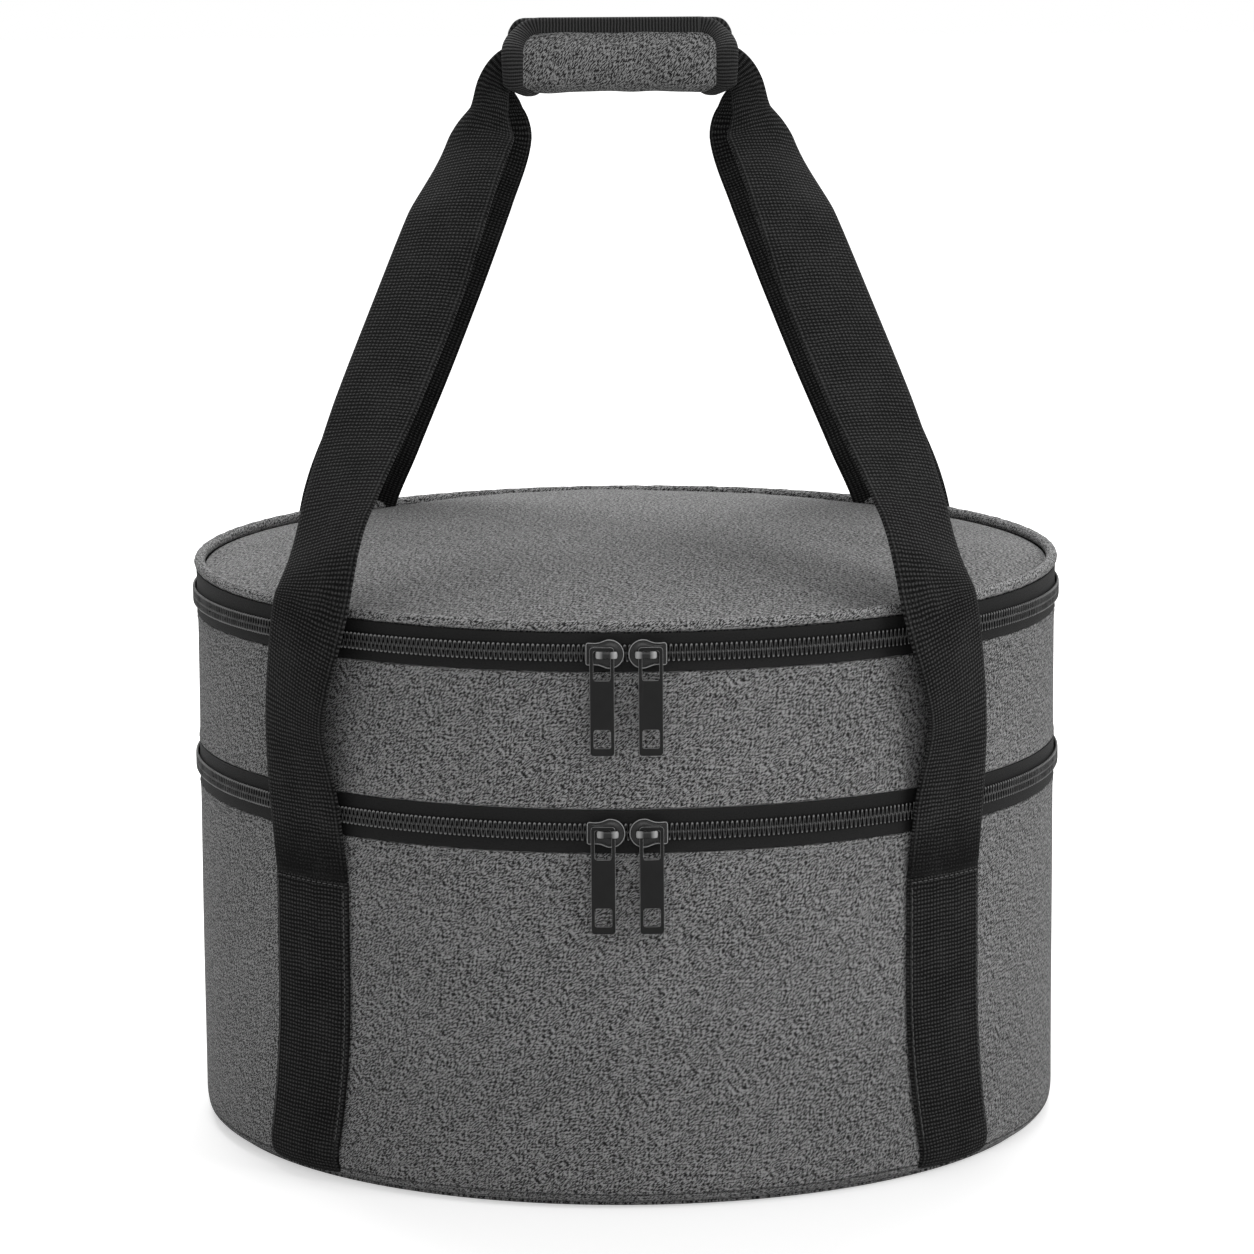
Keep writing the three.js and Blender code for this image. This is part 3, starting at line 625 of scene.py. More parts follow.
def lid_lift(angle, r, z):
    """The lid lies on a slight slope that rises to the back, from just above the top zip's coil up."""
    share = np.clip((z - TOP_ZIP - 3.5) / (TOP_TAPE - 3.5), 0, 1)
    return 0, LID_LIFT / 2 * (1 - r / BODY * np.cos(angle)) * share


def lid_shell(inset, drop, inner_inset, inner_drop, edge):
    outside = dome(inset, drop)
    inside = dome(inner_inset, inner_drop)
    rim = [(outside[-1][0], edge, 0.4), (inside[-1][0], edge, 0.4)]
    return outline(outside + rim + inside[::-1], 3.0, False)


# Creases near the lid's rim: angle, how far in, slant, length, width and height in millimetres
CREASES = [
    (-74, 12, 0.5, 46, 2.4, 0.55), (-62, 16, 0.9, 40, 2.2, 0.5), (-83, 20, 0.2, 34, 2.6, 0.45),
    (-95, 14, -0.3, 38, 2.8, 0.5), (-52, 14, 1.0, 30, 2.2, 0.4), (68, 13, -0.6, 48, 2.4, 0.55),
    (80, 18, -0.3, 38, 2.8, 0.45), (58, 15, -0.9, 34, 2.2, 0.5), (97, 14, 0.4, 40, 2.6, 0.5),
    (130, 15, 0.6, 40, 2.6, 0.45), (160, 13, -0.4, 44, 2.8, 0.45), (-128, 15, 0.5, 42, 2.6, 0.5),
    (-155, 14, -0.6, 40, 2.6, 0.45), (20, 12, 0.5, 30, 2.6, 0.25), (-18, 12, -0.5, 30, 2.6, 0.25),
]


LID_WAVES = [(0.5, 3, 0.3, 45), (0.4, 7, 1.9, -30), (0.3, 13, 4.1, 24)]


def lid_shift(angle, r, z):
    up = 0.5 * waves(angle, r, LID_WAVES) * np.clip(r / 120, 0, 1)
    for degrees, inward, slant, length, width, height in CREASES:
        turn = (angle - math.radians(degrees) + math.pi) % (2 * math.pi) - math.pi
        sideways = turn * r
        depth = BODY - r - inward
        apart = sideways - slant * depth
        along = np.clip(depth / length, -0.4, 1.4)
        up = up + height * np.exp(-((apart / width) ** 2)) * np.exp(-((along - 0.4) / 0.45) ** 2 * 2)
    gathers = 0.35 * waves(angle, 0 * z, PUCKERS) * np.exp(-(((LID_RIM - r) / 9) ** 2))
    return 0, (up + gathers) * np.clip((LID_RIM - r) / 4, 0, 1) + lid_lift(angle, r, z)[1]


lid_edge = PIPING - 4.5
lid = make("lid_cloth", turned(lid_shell(0, 0, 1.2, 1.2, lid_edge), count=480, closed=False,
                               flat=True, shift=lid_shift), HEATHER, "lid", ["lid_panel"])


PIPING_OUT = BODY - 1.0  # the radius of the piping's middle


def piping_shift(angle, r, z):
    swell = 1 + 0.06 * waves(angle, 0 * z, PUCKERS)
    return (r - PIPING_OUT) * (swell - 1), (z - PIPING) * (swell - 1) + lid_lift(angle, r, z + 9)[1]


turns = np.linspace(0, 2 * math.pi, 17)[:-1, None]
piping = (PIPING_OUT, PIPING) + PIPING_RADIUS * np.hstack([np.cos(turns), np.sin(turns)])
make("lid_edge_piping", turned(piping, shift=piping_shift, count=480), PIPING_CLOTH, "lid", ["lid_piping"])


# Foam and linings inside

def cup(floor, flange):
    """A lining with a floor, a wall, and a flange over the foam's edge to the zip."""
    return outline([
        (0, floor), (LINING_OUT, floor, 1.5), (LINING_OUT, flange, 0.3), (FLANGE_OUT, flange, 0.3),
        (FLANGE_OUT, flange + 0.8, 0.3), (LINING_IN, flange + 0.8, 0.6), (LINING_IN, floor + 0.8, 3.0),
        (0, floor + 0.8)], 8, False)


def foam_wall(low, high):
    corners = (FOAM_IN, low), (FOAM_OUT, low), (FOAM_OUT, high), (FOAM_IN, high)
    return outline([(r, z, 0.6) for r, z in corners], 20)


def plain_disc(radius, low, high):
    return outline([(0, low), (radius, low, 0.35), (radius, high, 0.35), (0, high)], 20, False)


def foil_shift(angle, r, z):
    return 0, 0.12 * waves(angle, r, [(0.6, 9, 0.2, 13), (0.4, 17, 1.2, -9)]) * (r < 176)


def lid_foil_shift(angle, r, z):
    return 0, foil_shift(angle, r, z)[1] + lid_lift(angle, r, z)[1]


for name, profile, look, node in (
        ("base_foam_wall", foam_wall(12.1, MID_ZIP - 3.1), FOAM, "base_wall_foam"),
        ("base_foam_floor", plain_disc(LINING_OUT, 4.2, 10.2), FOAM, "base_floor_foam"),
        ("deck_foam_wall", foam_wall(MID_ZIP + 6.2, TOP_ZIP - 3.1), FOAM, "deck_wall_foam"),
        ("deck_foam_floor", plain_disc(FOAM_OUT, MID_ZIP + 1.9, MID_ZIP + 5.9), FOAM, "deck_floor_foam"),
        ("base_foil_lining", cup(10.5, MID_ZIP - 2.8), LINING, "base_lining"),
        ("deck_foil_lining", cup(MID_ZIP + 6.2, TOP_ZIP - 2.8), LINING, "deck_lining"),
        ("deck_underside_foil", plain_disc(FLANGE_OUT, MID_ZIP + 0.8, MID_ZIP + 1.6), LINING,
         "deck_underside_lining")):
    ring = name.endswith("foam_wall")
    shift = foil_shift if look is LINING else None
    make(name, turned(profile, count=144, closed=ring, flat=not ring, shift=shift), look, name[:4], [node])

make("lid_foam_dome", turned(lid_shell(1.5, 1.5, 6.0, 5.5, TOP_ZIP + 4.2), count=144, closed=False, flat=True,
                             shift=lid_lift), FOAM, "lid", ["lid_foam"])

lining_out = dome(6.3, 5.8)
lining_in = dome(7.1, 6.6)
lining_edge = TOP_ZIP + 3
flange = [(lining_out[-1][0], lining_edge + 0.8), (FLANGE_OUT, lining_edge + 0.8, 0.3),
          (FLANGE_OUT, lining_edge, 0.3), (lining_in[-1][0], lining_edge)]
lid_lining = outline(lining_out + flange + lining_in[::-1], 4.0, False)
make("lid_foil_lining", turned(lid_lining, count=144, closed=False, flat=True, shift=lid_foil_shift),
     LINING, "lid", ["lid_lining"])


# Zips

def tape_profile(low, high):
    """A zip tape's section, a little hollow between its sewn edge and the coil."""
    middle = (low + high) / 2
    return outline([(189.6, low, 0.3), (190.55, low, 0.35), (190.4, middle, 1.5), (190.6, high, 0.35),
                    (189.6, high, 0.3)], 1.6)


def coil_half(z, side):
    """One half of a coil zip: a filament that loops from its heads in the middle to its bends outside."""
    pitch = 2.1
    radius = 191.6
    half = radius * (ZIP_END - 0.012)
    turns = int(2 * half / pitch)
    # Along the zip in pitches, across in millimetres from the middle, and out from the bag's axis
    loop = np.array([
        (-0.42, 3.15, 191.42), (-0.30, 2.2, 191.36), (-0.20, 0.8, 191.36), (-0.08, -0.18, 191.45),
        (0.08, -0.42, 191.70), (0.20, -0.10, 191.93), (0.22, 0.9, 191.96), (0.30, 2.3, 191.96),
        (0.42, 3.15, 191.88), (0.5, 3.3, 191.65)])
    start = 0.99 if side > 0 else 0.5
    path = []
    for k in range(turns):
        s = -half + (k + start + loop[:, 0]) * pitch
        path.append(around(loop[:, 2], s / radius, z + side * loop[:, 1]))
    return tube(np.concatenate(path), 0.36, 6)


def across_zip(shape, z):
    """The shape with its map's second length taken from the zip's middle."""
    points, faces, loops = shape
    corners = [k for face in faces for k in face]
    return points, faces, [[s, abs(points[k][2] - z)] for (s, _), k in zip(loops, corners)]


sector = (-ZIP_END, ZIP_END)
for zip_name, z, tape_half, lower, upper in (
        ("mid_zip", MID_ZIP, MID_TAPE, "base", "deck"), ("top_zip", TOP_ZIP, TOP_TAPE, "deck", "lid")):
    lift = lid_lift if upper == "lid" else None
    halves = (("lower", lower, -1, z - tape_half, z - 0.15, None),
              ("upper", upper, 1, z + 0.15, z + tape_half, lift))
    for place, body, side, low, high, shift in halves:
        tape = turned(tape_profile(low, high), sector, 300, shift=shift)
        make(f"{zip_name}_{place}_tape", across_zip(tape, z), TAPE, body, [f"{zip_name}_tape_{place}"])
    for place, body, side, *rest in halves:
        teeth = across_zip(coil_half(z, side), z)
        make(f"{zip_name}_{place}_teeth", teeth, COIL, body, [f"{zip_name}_coil_{place}"])

    hinge_profile = outline([(189.5, z - tape_half, 0.4), (190.6, z - tape_half, 0.4), (190.8, z, 3.0),
                             (190.6, z + tape_half, 0.4), (189.5, z + tape_half, 0.4)], 0.9)
    clear = 0.3 / BODY
    strip = turned(hinge_profile, (ZIP_END + clear, 2 * math.pi - ZIP_END - clear), 90, shift=lift)
    hinge = make(f"{zip_name}_hinge_cloth", strip, HEATHER, None, [f"{zip_name.split('_')[0]}_hinge_strip"])
    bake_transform(hinge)


# Sliders, pulls and board

def dress(node, *looks):
    """Materials on a solid that stays as it is, whose looks take their places from the object."""
    node.data.materials.clear()
    for look in looks:
        node.data.materials.append(look.material)


def slider_outline():
    """The slider's plate seen from outside, from (along, up) points evenly spaced. The nose is at -x."""
    nose = -SLIDER / 2 + SLIDER_NOSE
    tail = SLIDER / 2
    turn = np.linspace(math.radians(78), math.radians(282), 40)
    radius = SLIDER_NOSE + 0.3
    points = [(nose + radius * math.cos(t), radius * math.sin(t)) for t in turn]
    lower = [(nose + 3.0, -5.3), (nose + 4.6, -4.75), (nose + 6.5, -4.55), (tail - 0.6, -SLIDER_TAIL - 0.3),
             (tail, -SLIDER_TAIL + 0.2)]
    points += lower + [(x, -y) for x, y in lower[::-1]]
    closed = np.array(points + points[:1])
    s = run(closed)
    even = np.linspace(0, s[-1], 72, endpoint=False)
    return np.stack([np.interp(even, s, line) for line in closed.T], 1)


def slider_shape():
    """The crowned plate, the side lip under its lower edge, and the bridge that holds the pull."""
    plan = slider_outline()
    ahead = np.roll(plan, -1, 0) - np.roll(plan, 1, 0)
    inward = unit(np.stack([-ahead[:, 1], ahead[:, 0]], 1))
    rings = [(plan + inward * inset, out) for inset, out in (
        (1.2, 192.9), (0.35, 192.92), (0.0, 193.25), (0.0, 193.75), (0.22, 194.02), (0.55, 194.08),
        (0.75, 194.0), (0.95, 194.12))]
    rings += [(plan * share, out) for share, out in (
        (0.78, 194.42), (0.6, 194.6), (0.4, 194.7), (0.2, 194.74), (0.02, 194.75))]
    plate = grid(np.array([np.insert(ring, 1, -out, 1) for ring, out in rings]), (False, True), caps=True)
    bend = [(-5.0, 194.3), (-5.0, 196.3), (-4.7, 197.0), (-4.0, 197.4), (-2.5, 197.5), (-0.9, 197.4),
            (0.7, 197.5), (2.0, 197.4), (2.75, 197.0), (3.1, 196.3), (3.1, 194.3)]
    section = np.linspace(0, 2 * math.pi, 16, endpoint=False)
    thick = 0.62 * np.sign(np.cos(section)) * np.abs(np.cos(section)) ** 0.7
    high = 1.5 * np.sign(np.sin(section)) * np.abs(np.sin(section)) ** 0.8
    rows = []
    for (x, r), (dx, dr) in zip(bend, unit(np.gradient(np.array(bend), axis=0))):
        rows.append(np.stack([x - dr * thick, -(r + dx * thick), high], 1))
    bridge = grid(np.array(rows), (False, True), caps=True)
    lip = [[(x, -191.25, -4.0), (x, -191.2, -4.35), (x, -192.0, -4.68), (x, -193.0, -4.62), (x, -193.4, -4.3),
            (x, -193.3, -3.95)] for x in np.linspace(-SLIDER / 2 + SLIDER_NOSE, SLIDER / 2 - 0.1, 7)]
    return joined([plate, bridge, grid(np.array(lip), (False, True), caps=True)])


def slider_rim():
    """The bead round the plate's edge, coloured bright as a painted highlight."""
    plan = slider_outline()
    share = 1 - 0.3 / np.linalg.norm(plan, axis=1, keepdims=True)
    return tube(np.insert(plan * share, 1, -194.02, 1), 0.22, 6, True)


def placed(shape, sign, z):
    """A shape drawn at the front, turned to its closed place on one side of the bag."""
    points, faces, loops = shape
    turn = sign * SLIDER_TURN
    x, y = points[:, 0] * sign, points[:, 1]
    spun = np.stack([x * math.cos(turn) - y * math.sin(turn), x * math.sin(turn) + y * math.cos(turn),
                     points[:, 2] + z], 1)
    return spun, faces, loops


for zip_name, z in (("mid", MID_ZIP), ("top", TOP_ZIP)):
    for side, sign in (("left", -1), ("right", 1)):
        name = f"{zip_name}_slider_{side}"
        make(f"{name}_cast", placed(slider_shape(), sign, z), SLIDER_METAL, name, [name], sharp=50)
        make(f"{name}_rim", placed(slider_rim(), sign, z), EDGE_HIGHLIGHT, name)
        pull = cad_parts[f"{zip_name}_pull_{side}"]
        dress(pull, PULL_METAL, EDGE_HIGHLIGHT)
        weld = pull.modifiers.new("joined_corners", "WELD")
        weld.merge_threshold = 0.001 * MM
        bevel = pull.modifiers.new("soft_edges", "BEVEL")
        bevel.width = 0.36 * MM
        bevel.segments = 2
        bevel.limit_method = "ANGLE"
        # The bevels take the second material, the painted edge highlight.
        bevel.material = 1

dress(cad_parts["bottom_stiffener"], BOARD)


# Webbing

def strap_section(width, thick, curl, out, across, at):
    """A closed section of webbing: its outer face's middle is at `at`, and it bends round by curl."""
    share = np.array([-1, -0.992, -0.97, -0.93, -0.86, -0.74, -0.55, -0.3, 0])
    share = np.concatenate([share, -share[-2::-1]])
    half = thick / 2 * (1 - np.abs(share) ** 14) ** (1 / 3)
    radius = width / curl
    turn = curl * share / 2
    normal = out * np.cos(turn)[:, None] + across * np.sin(turn)[:, None]
    middle = at - out * radius + normal * (radius - thick / 2)
    return np.concatenate([middle + normal * half[:, None], (middle - normal * half[:, None])[-2:0:-1]]), \
        np.concatenate([share, share[-2:0:-1]]) * STRAP / 2


def strap_mesh(sections, along):
    points, across = (np.array(part) for part in zip(*sections))
    across = np.concatenate([across, across[:, :1]], 1)
    uv = np.stack([np.broadcast_to(along[:, None], across.shape), across], -1)
    return grid(points, (False, True), uv, caps=True)


PAST_ROOT_SHADE = 30.0  # how far along its map a strap's weave starts that isn't pressed flat and darkened by painted shade


def splayed(middle, z):
    """A sewn strap's angle at a height: near the bottom it runs a little further out to the side."""
    aside = math.copysign(4.6, math.sin(2 * middle)) / SEWN_OUTER
    return middle + aside * np.clip((85 - z) / 54, 0, 1.4) ** 2


def sewn_strap(middle):
    """Webbing sewn flat up the wall, its lower end turned in under the rounded edge."""
    path = [(188.4, 3.0), (190.4, 5.0), (191.7, 8.5), (192.5, 13.0), (192.6, 18.0)]
    path += [(192.6, z) for z in np.linspace(24, SEWN_TOP - 0.1, 24)]
    path = np.array(path)
    sections = []
    curl = STRAP / SEWN_OUTER
    for (r, z), (dr, dz) in zip(path, unit(np.gradient(path, axis=0))):
        angle = splayed(middle, z)
        out = around(1.0, angle, 0.0) * dz + np.array([0, 0, -dr])
        across = around(1.0, angle + math.pi / 2, 0.0)
        sections.append(strap_section(STRAP, STRAP_THICK, curl, out, across, around(r, angle, z)))
    return strap_mesh(sections, PAST_ROOT_SHADE + run(path))


def strap_stitches(middle):
    """Rows of thread up both edges of a sewn strap and across its top."""
    reach = (STRAP / 2 - 2.0) / SEWN_OUTER
    out = SEWN_OUTER + 0.3 * (1 - STITCH ** 2) - 0.15
    paths = []
    for side in (-1, 1):
        for z in np.arange(20.0, SEWN_TOP - 3, 3.4):
            up = z + 1.15 * STITCH
            paths.append(around(out, splayed(middle, up) + side * reach, up))
    for k in range(13):
        paths.append(around(out, middle + ((k - 6) * 3.2 + STITCH) / SEWN_OUTER, SEWN_TOP - 1.6))
    return joined([tube(path, 0.28, 5) for path in paths])


for place, middle in (("front_right", STRAP_ANGLE), ("front_left", -STRAP_ANGLE),
                      ("rear_right", math.pi - STRAP_ANGLE), ("rear_left", math.pi + STRAP_ANGLE)):
    make(f"{place}_strap", sewn_strap(middle), WEBBING, "base", [f"{place}_sewn_strap"])
    make(f"{place}_strap_stitches", strap_stitches(middle), DARK_THREAD, "base")


def centripetal(points, t):
    """A centripetal Catmull-Rom curve at t from 0 to the number of spans."""
    points = np.asarray(points, float)
    k = min(int(t), len(points) - 2)
    u = t - k
    p1, p2 = points[k], points[k + 1]
    p0 = points[k - 1] if k else 2 * p1 - p2
    p3 = points[k + 2] if k + 2 < len(points) else 2 * p2 - p1
    d0, d1, d2 = (max(np.linalg.norm(b - a), 1e-8) ** 0.5 for a, b in ((p0, p1), (p1, p2), (p2, p3)))
    t1 = ((p1 - p0) / d0 - (p2 - p0) / (d0 + d1) + (p2 - p1) / d1) * d1
    t2 = ((p2 - p1) / d1 - (p3 - p1) / (d1 + d2) + (p3 - p2) / d2) * d1
    return p1 + t1 * u + (3 * (p2 - p1) - 2 * t1 - t2) * u ** 2 + (2 * (p1 - p2) + t1 + t2) * u ** 3


# How far each leg draws in round the bag at the rim, in radians, how far it bows out at four heights above,
# how much it narrows up to the grip, its facings from root to grip, in degrees from the front or the back,
# and its turn into the grip: (along, out, up from the wrap's fold), facing, and (width, thickness, curl)
FRONT_LEG = (0.053, (3.4, 2.4, 1.0, 1.4), 2, [46, 54, 43, 40, 31, 29, 33], [
    ((63.2, -17.5, -16), (0.62, -0.78, 0), (39, 2.2, 0.7)),
    ((58.8, -13.5, -4.5), (0.5, -0.86, 0.1), (22, 3, 1.2)),
    ((55.6, -10, 5.2), (0.2, -0.97, 0.1), (17, 3.6, 1)),
])
REAR_LEG = (0.055, (0.4, 0.2, 0.2, 0.2), 9, [43, 33, 8, 2, 4, 8, 11], [
    ((55.4, -15.5, -17), (0.25, -0.97, 0), (33, 2.2, 0.5)),
    ((55.4, -12, -5.5), (0.3, -0.95, 0.1), (25, 2.8, 0.9)),
    ((55.2, -10, 5), (0.2, -0.97, 0.1), (17, 3.6, 1)),
])
FOLDED = [  # how both legs go on along the grip, folded double
    ((51, -8, 11.4), (0.1, -0.99, 0.1), (17, 4, 0.8)),
    ((44, -6.9, 14.3), (0, -1, 0), (18.4, 4.4, 0.5)),
    ((33, -6.8, GRIP_RISE), (0, -1, 0), (19.8, 4.4, 0.5)),
    ((0, -6.8, GRIP_RISE), (0, -1, 0), (19.8, 4.4, 0.5)),
]


def leg_stations(rim_turn, bows, narrowing, facings, turn):
    """One leg on the right, drawn at the front, from its root to the middle of the grip."""
    flat = (STRAP, STRAP_THICK, STRAP / SEWN_OUTER)
    stand = BODY + 10.5
    root = around(SEWN_OUTER, STRAP_ANGLE, SEWN_TOP + 0.1)
    free = around(stand, STRAP_ANGLE + 1.0 / BODY, SEWN_TOP + (STRAP_RIM - SEWN_TOP) * 0.575)
    rim = around(stand - 1, STRAP_ANGLE - rim_turn, STRAP_RIM - 1)

    def facing(degrees):
        return around(1.0, math.radians(degrees), 0.0)

    def at_grip(along, out, above):
        return np.array([along, out, WRAP_BOTTOM + above])

    stations = [(root, around(1.0, STRAP_ANGLE, 0.0), flat)]
    for at, degrees in zip((root + (free - root) * 0.45, free, rim), facings):
        stations.append((at, facing(degrees), flat))
    top = at_grip(*turn[0][0])
    for share, bow, degrees in zip((0.2, 0.42, 0.64, 0.84), bows, facings[3:]):
        at = rim + (top - rim) * share + np.array([bow, -bow, 0])
        stations.append((at, facing(degrees), (STRAP - narrowing * share ** 3, STRAP_THICK, 0.3)))
    for at, face, size in turn + FOLDED:
        stations.append((at_grip(*at), face, size))
    return stations


def handle(toward):
    """A whole arch of webbing: one leg, and its mirror image joined at the middle of the grip."""
    stations = leg_stations(*(FRONT_LEG if toward > 0 else REAR_LEG))
    steps = np.arange(10 * (len(stations) - 1) + 1) / 10
    path, facing, sizes = (np.array([centripetal(line, t) for t in steps]) for line in zip(*stations))
    leg = []
    for at, forward, face, (width, thick, curl) in zip(path, np.gradient(path, axis=0), facing, sizes):
        across = unit(np.cross(forward, face))
        out = unit(np.cross(across, forward))
        leg.append(strap_section(width, thick, curl, out, across, at))
    mirrored = [(p * [-1, 1, 1], v) for p, v in leg[-2::-1]]
    along = run(path)
    points, faces, loops = strap_mesh(leg + mirrored, np.concatenate([along, along[-2::-1]]))
    points = points * [1, toward, 1]
    points[:, 0] += LEAN * np.clip((points[:, 2] - SEWN_TOP) / (WRAP_BOTTOM - SEWN_TOP), 0, 1)
    return points, faces, loops


for where, toward in (("front", 1), ("rear", -1)):
    webbing = make(f"{where}_handle_strap", handle(toward), WEBBING, None, [f"{where}_handle_webbing"])
    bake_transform(webbing)


# Grip wrap: one padded cloth folded under the webbing, bound all round

FLAP = [(0.2, 0), (0.52, 0.045), (0.86, 0.18), (1, 0.4), (0.86, 0.6), (0.56, 0.76), (0.34, 0.88), (0.3, 1)]


def wrap_curve():
    """The wrap's outer face from its rear top edge, under the fold, to its front top edge."""
    half = [(-out * WRAP_DEPTH, WRAP_BOTTOM + up * WRAP_HEIGHT) for out, up in FLAP]
    points = np.array([(-y, z) for y, z in half[::-1]] + half)
    padded = np.concatenate([[2 * points[0] - points[1]], points, [2 * points[-1] - points[-2]]])
    u = np.linspace(0, 1, 24, endpoint=False)[:, None]
    spans = []
    for p0, p1, p2, p3 in zip(padded, padded[1:], padded[2:], padded[3:]):
        spans.append(0.5 * (2 * p1 + (p2 - p0) * u + (2 * p0 - 5 * p1 + 4 * p2 - p3) * u ** 2
                            + (3 * p1 - p0 - 3 * p2 + p3) * u ** 3))
    fine = np.concatenate([*spans, points[-1:]])
    return fine, run(fine)


WRAP_LINE, WRAP_S = wrap_curve()
WRAP_LENGTH = WRAP_S[-1] / 2  # from the fold to a flap's top edge
WRAP_CORNER = 17.0
REAR_CORNER = 8.0
REAR_EXTRA = -2.4  # how much further than the front flap the rear one reaches to each side
REAR_RISE = -0.4
SIDE_WIDER = 1.35  # the front binding's width at the sides over that at the top
BIND_WIDE = 7.2
CORNER_STEPS = 24


def on_wrap(x, up, depth):
    """Points on the wrap: along the grip, up its face from the fold (the rear is negative), and inward."""
    x, up, depth = np.broadcast_arrays(np.asarray(x, float), up, depth)
    s = up + WRAP_LENGTH
    y = np.interp(s, WRAP_S, WRAP_LINE[:, 0])
    z = np.interp(s, WRAP_S, WRAP_LINE[:, 1])
    near = 0.4
    on = np.clip(s, near, WRAP_S[-1] - near)
    dy, dz = (np.interp(on + near, WRAP_S, line) - np.interp(on - near, WRAP_S, line) for line in WRAP_LINE.T)
    size = np.hypot(dy, dz)
    past = np.maximum(np.abs(up) - WRAP_LENGTH, 0) * np.sign(up)
    y = y + past * dy / size
    z = z + past * dz / size
    arch = 2.0 * (1 - np.clip(x / 46, -1, 1) ** 2) * np.exp(-((up / 9) ** 2))
    return np.stack([x + LEAN, y + depth * dz / size, z - depth * dy / size + arch], -1)


def wrap_ring(inset):
    """The wrap's outline flat, as (x, up) points round it, a distance in from its edge."""
    points = []
    for side, radius, extra, rise, wider in (
            (1, WRAP_CORNER, 0.0, 0.0, SIDE_WIDER), (-1, REAR_CORNER, REAR_EXTRA, REAR_RISE, 1.0)):
        half = WRAP_HALF + extra
        top = WRAP_LENGTH + rise
        for turn in np.linspace(0, math.pi / 2, CORNER_STEPS):
            points.append((half - radius + (radius - inset * wider) * math.cos(turn),
                           side * (top - radius + (radius - inset) * math.sin(turn))))
    right = points[:CORNER_STEPS][::-1] + points[CORNER_STEPS:]
    left = [(-x, up) for x, up in right[::-1]]
    return np.array(right + left + right[:1])


def wrap_edge(inset):
    """The same outline in even steps along the wrap's edge, drawn in at the fold."""
    plain, ring = wrap_ring(0.0), wrap_ring(inset)
    s = run(plain)
    even = np.linspace(0, s[-1], 320, endpoint=False)
    x, up = (np.interp(even, s, line) for line in ring.T)
    draw = FOLD_DRAW * np.maximum(0, 1 - (up / FOLD_DRAW_REACH) ** 2)
    return np.stack([x * (1 - draw / WRAP_HALF), up], 1)


def wrap_pad():
    """The padded cloth inside the binding, its two faces crowned by the padding between them."""
    edge = wrap_edge(BIND_WIDE - 2.2)
    tops = edge[:, 1].max(), edge[:, 1].min()
    ups = np.linspace(tops[1] + 0.05, tops[0] - 0.05, 90)
    rows = []
    for up in ups:
        near = edge[np.argsort(np.abs(edge[:, 1] - up))[:6]]
        half = np.abs(near[:, 0]).max()
        share = np.linspace(-1, 1, 41)
        x = half * share
        crown = (1 - share ** 8) ** 0.5 * min(1, (tops[0] - up) / 4, (up - tops[1]) / 4) ** 0.5
        ripple = 0.18 * np.sin(x / 5.3 + up / 7.1) + 0.12 * np.sin(x / 2.9 - up / 4.3 + 1)
        outer = on_wrap(x, up, 1.5 - (1.3 + ripple) * crown)
        inner = on_wrap(x[::-1], up, 1.9 + 1.5 * crown[::-1])
        rows.append(np.concatenate([outer, inner]))
    return grid(np.array(rows), (False, True), caps=True)


def wrap_binding():
    """The binding tape folded over the wrap's edge, all the way round."""
    rings = []
    for inset, depth in (
            (BIND_WIDE, 0.75), (BIND_WIDE - 0.5, 0.15), (BIND_WIDE - 2.0, -0.45), (BIND_WIDE - 3.6, -0.65),
            (2.0, -0.55), (0.8, 0.0), (0.1, 0.9), (0.0, 1.75), (0.1, 2.6), (0.8, 3.4), (2.0, 3.8),
            (BIND_WIDE - 3.0, 3.9), (BIND_WIDE - 0.8, 3.7), (BIND_WIDE, 3.3)):
        rings.append(on_wrap(*wrap_edge(inset).T, depth))
    return grid(np.array(rings).transpose(1, 0, 2), (True, True))


def closure(side):
    """Hook or loop tape inside a flap's top edge."""
    ups = side * np.linspace(WRAP_LENGTH - 8, WRAP_LENGTH - 1, 8)
    x = np.linspace(-39, 39, 40)
    rows = [np.concatenate([on_wrap(x, up, 3.8), on_wrap(x[::-1], up, 4.5)]) for up in ups]
    return grid(np.array(rows), (False, True), caps=True)


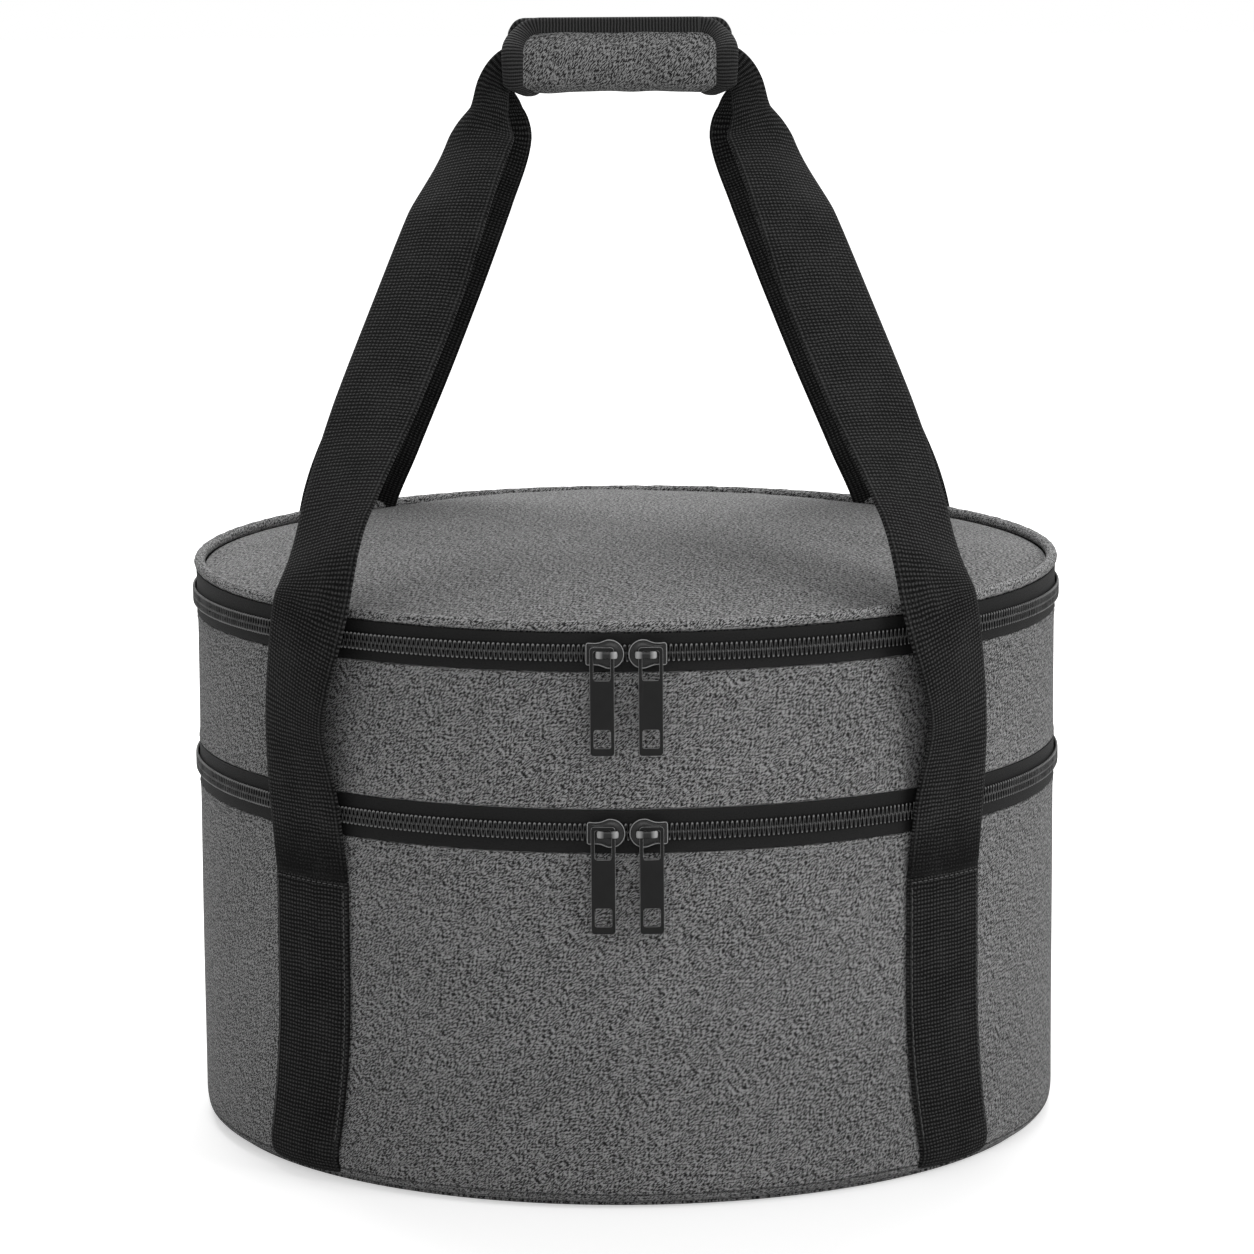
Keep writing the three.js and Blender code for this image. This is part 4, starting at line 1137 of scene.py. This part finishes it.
pad = make("wrap_padded_cloth", wrap_pad(), GRIP_CLOTH, None,
           ["wrap_front_panel", "wrap_rear_panel", "wrap_front_padding", "wrap_rear_padding"])
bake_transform(pad)
bind = make("wrap_edge_binding", wrap_binding(), BINDING, None, ["wrap_front_binding", "wrap_rear_binding"])
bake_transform(bind)
make("wrap_loop_side", closure(1), CLOSURE, "wrap_flap", ["wrap_loop_tape"])
make("wrap_hook_side", closure(-1), CLOSURE, "handle_rear", ["wrap_hook_tape"])


# Floor and surroundings

def add_floor():
    """A pale floor that shows white to the camera, but for the shadow on it near the bag."""
    mesh = bpy.data.meshes.new("floor")
    mesh.from_pydata([(-6, -6, 0), (6, -6, 0), (6, 12, 0), (-6, 12, 0)], [], [(0, 1, 2, 3)])
    floor = add_object("floor", mesh)
    floor.location.z = -0.0004
    material = bpy.data.materials.new("white_floor")
    material.use_nodes = True
    tree = material.node_tree
    tree.nodes.clear()
    place = add_node(tree, "NewGeometry").outputs["Position"]
    away = add_node(tree, "VectorMath", {0: place}, operation="LENGTH").outputs["Value"]
    fade = add_node(tree, "MapRange", {
        "Value": away, "From Min": 0.3, "From Max": 1.2, "To Min": 0.49, "To Max": 1.0})
    camera_ray = add_node(tree, "LightPath").outputs["Is Camera Ray"]
    glow = add_node(tree, "Emission", {"Strength": calc(tree, "MULTIPLY", camera_ray, fade.outputs[0])})
    diffuse = add_node(tree, "BsdfDiffuse", {"Color": (0.8, 0.8, 0.8, 1)})
    both = add_node(tree, "AddShader", {0: diffuse.outputs[0], 1: glow.outputs[0]})
    add_node(tree, "OutputMaterial", {"Surface": both.outputs[0]})
    mesh.materials.append(material)


def add_world():
    """Light from all round that shows as plain white to the camera and in reflections."""
    world = bpy.data.worlds.new("studio")
    SCENE.world = world
    world.use_nodes = True
    tree = world.node_tree
    seen = 0.0
    path = add_node(tree, "LightPath")
    for ray in ("Is Camera Ray", "Is Glossy Ray", "Is Transmission Ray"):
        seen = calc(tree, "MAXIMUM", path.outputs[ray], seen)
    strength = add_node(tree, "MapRange", {"Value": seen, "To Min": 0.45, "To Max": 1.0})
    background = tree.nodes["Background"]
    background.inputs["Color"].default_value = (1, 1, 1, 1)
    tree.links.new(strength.outputs[0], background.inputs["Strength"])


add_floor()
add_world()
SCENE.view_settings.view_transform = "Standard"
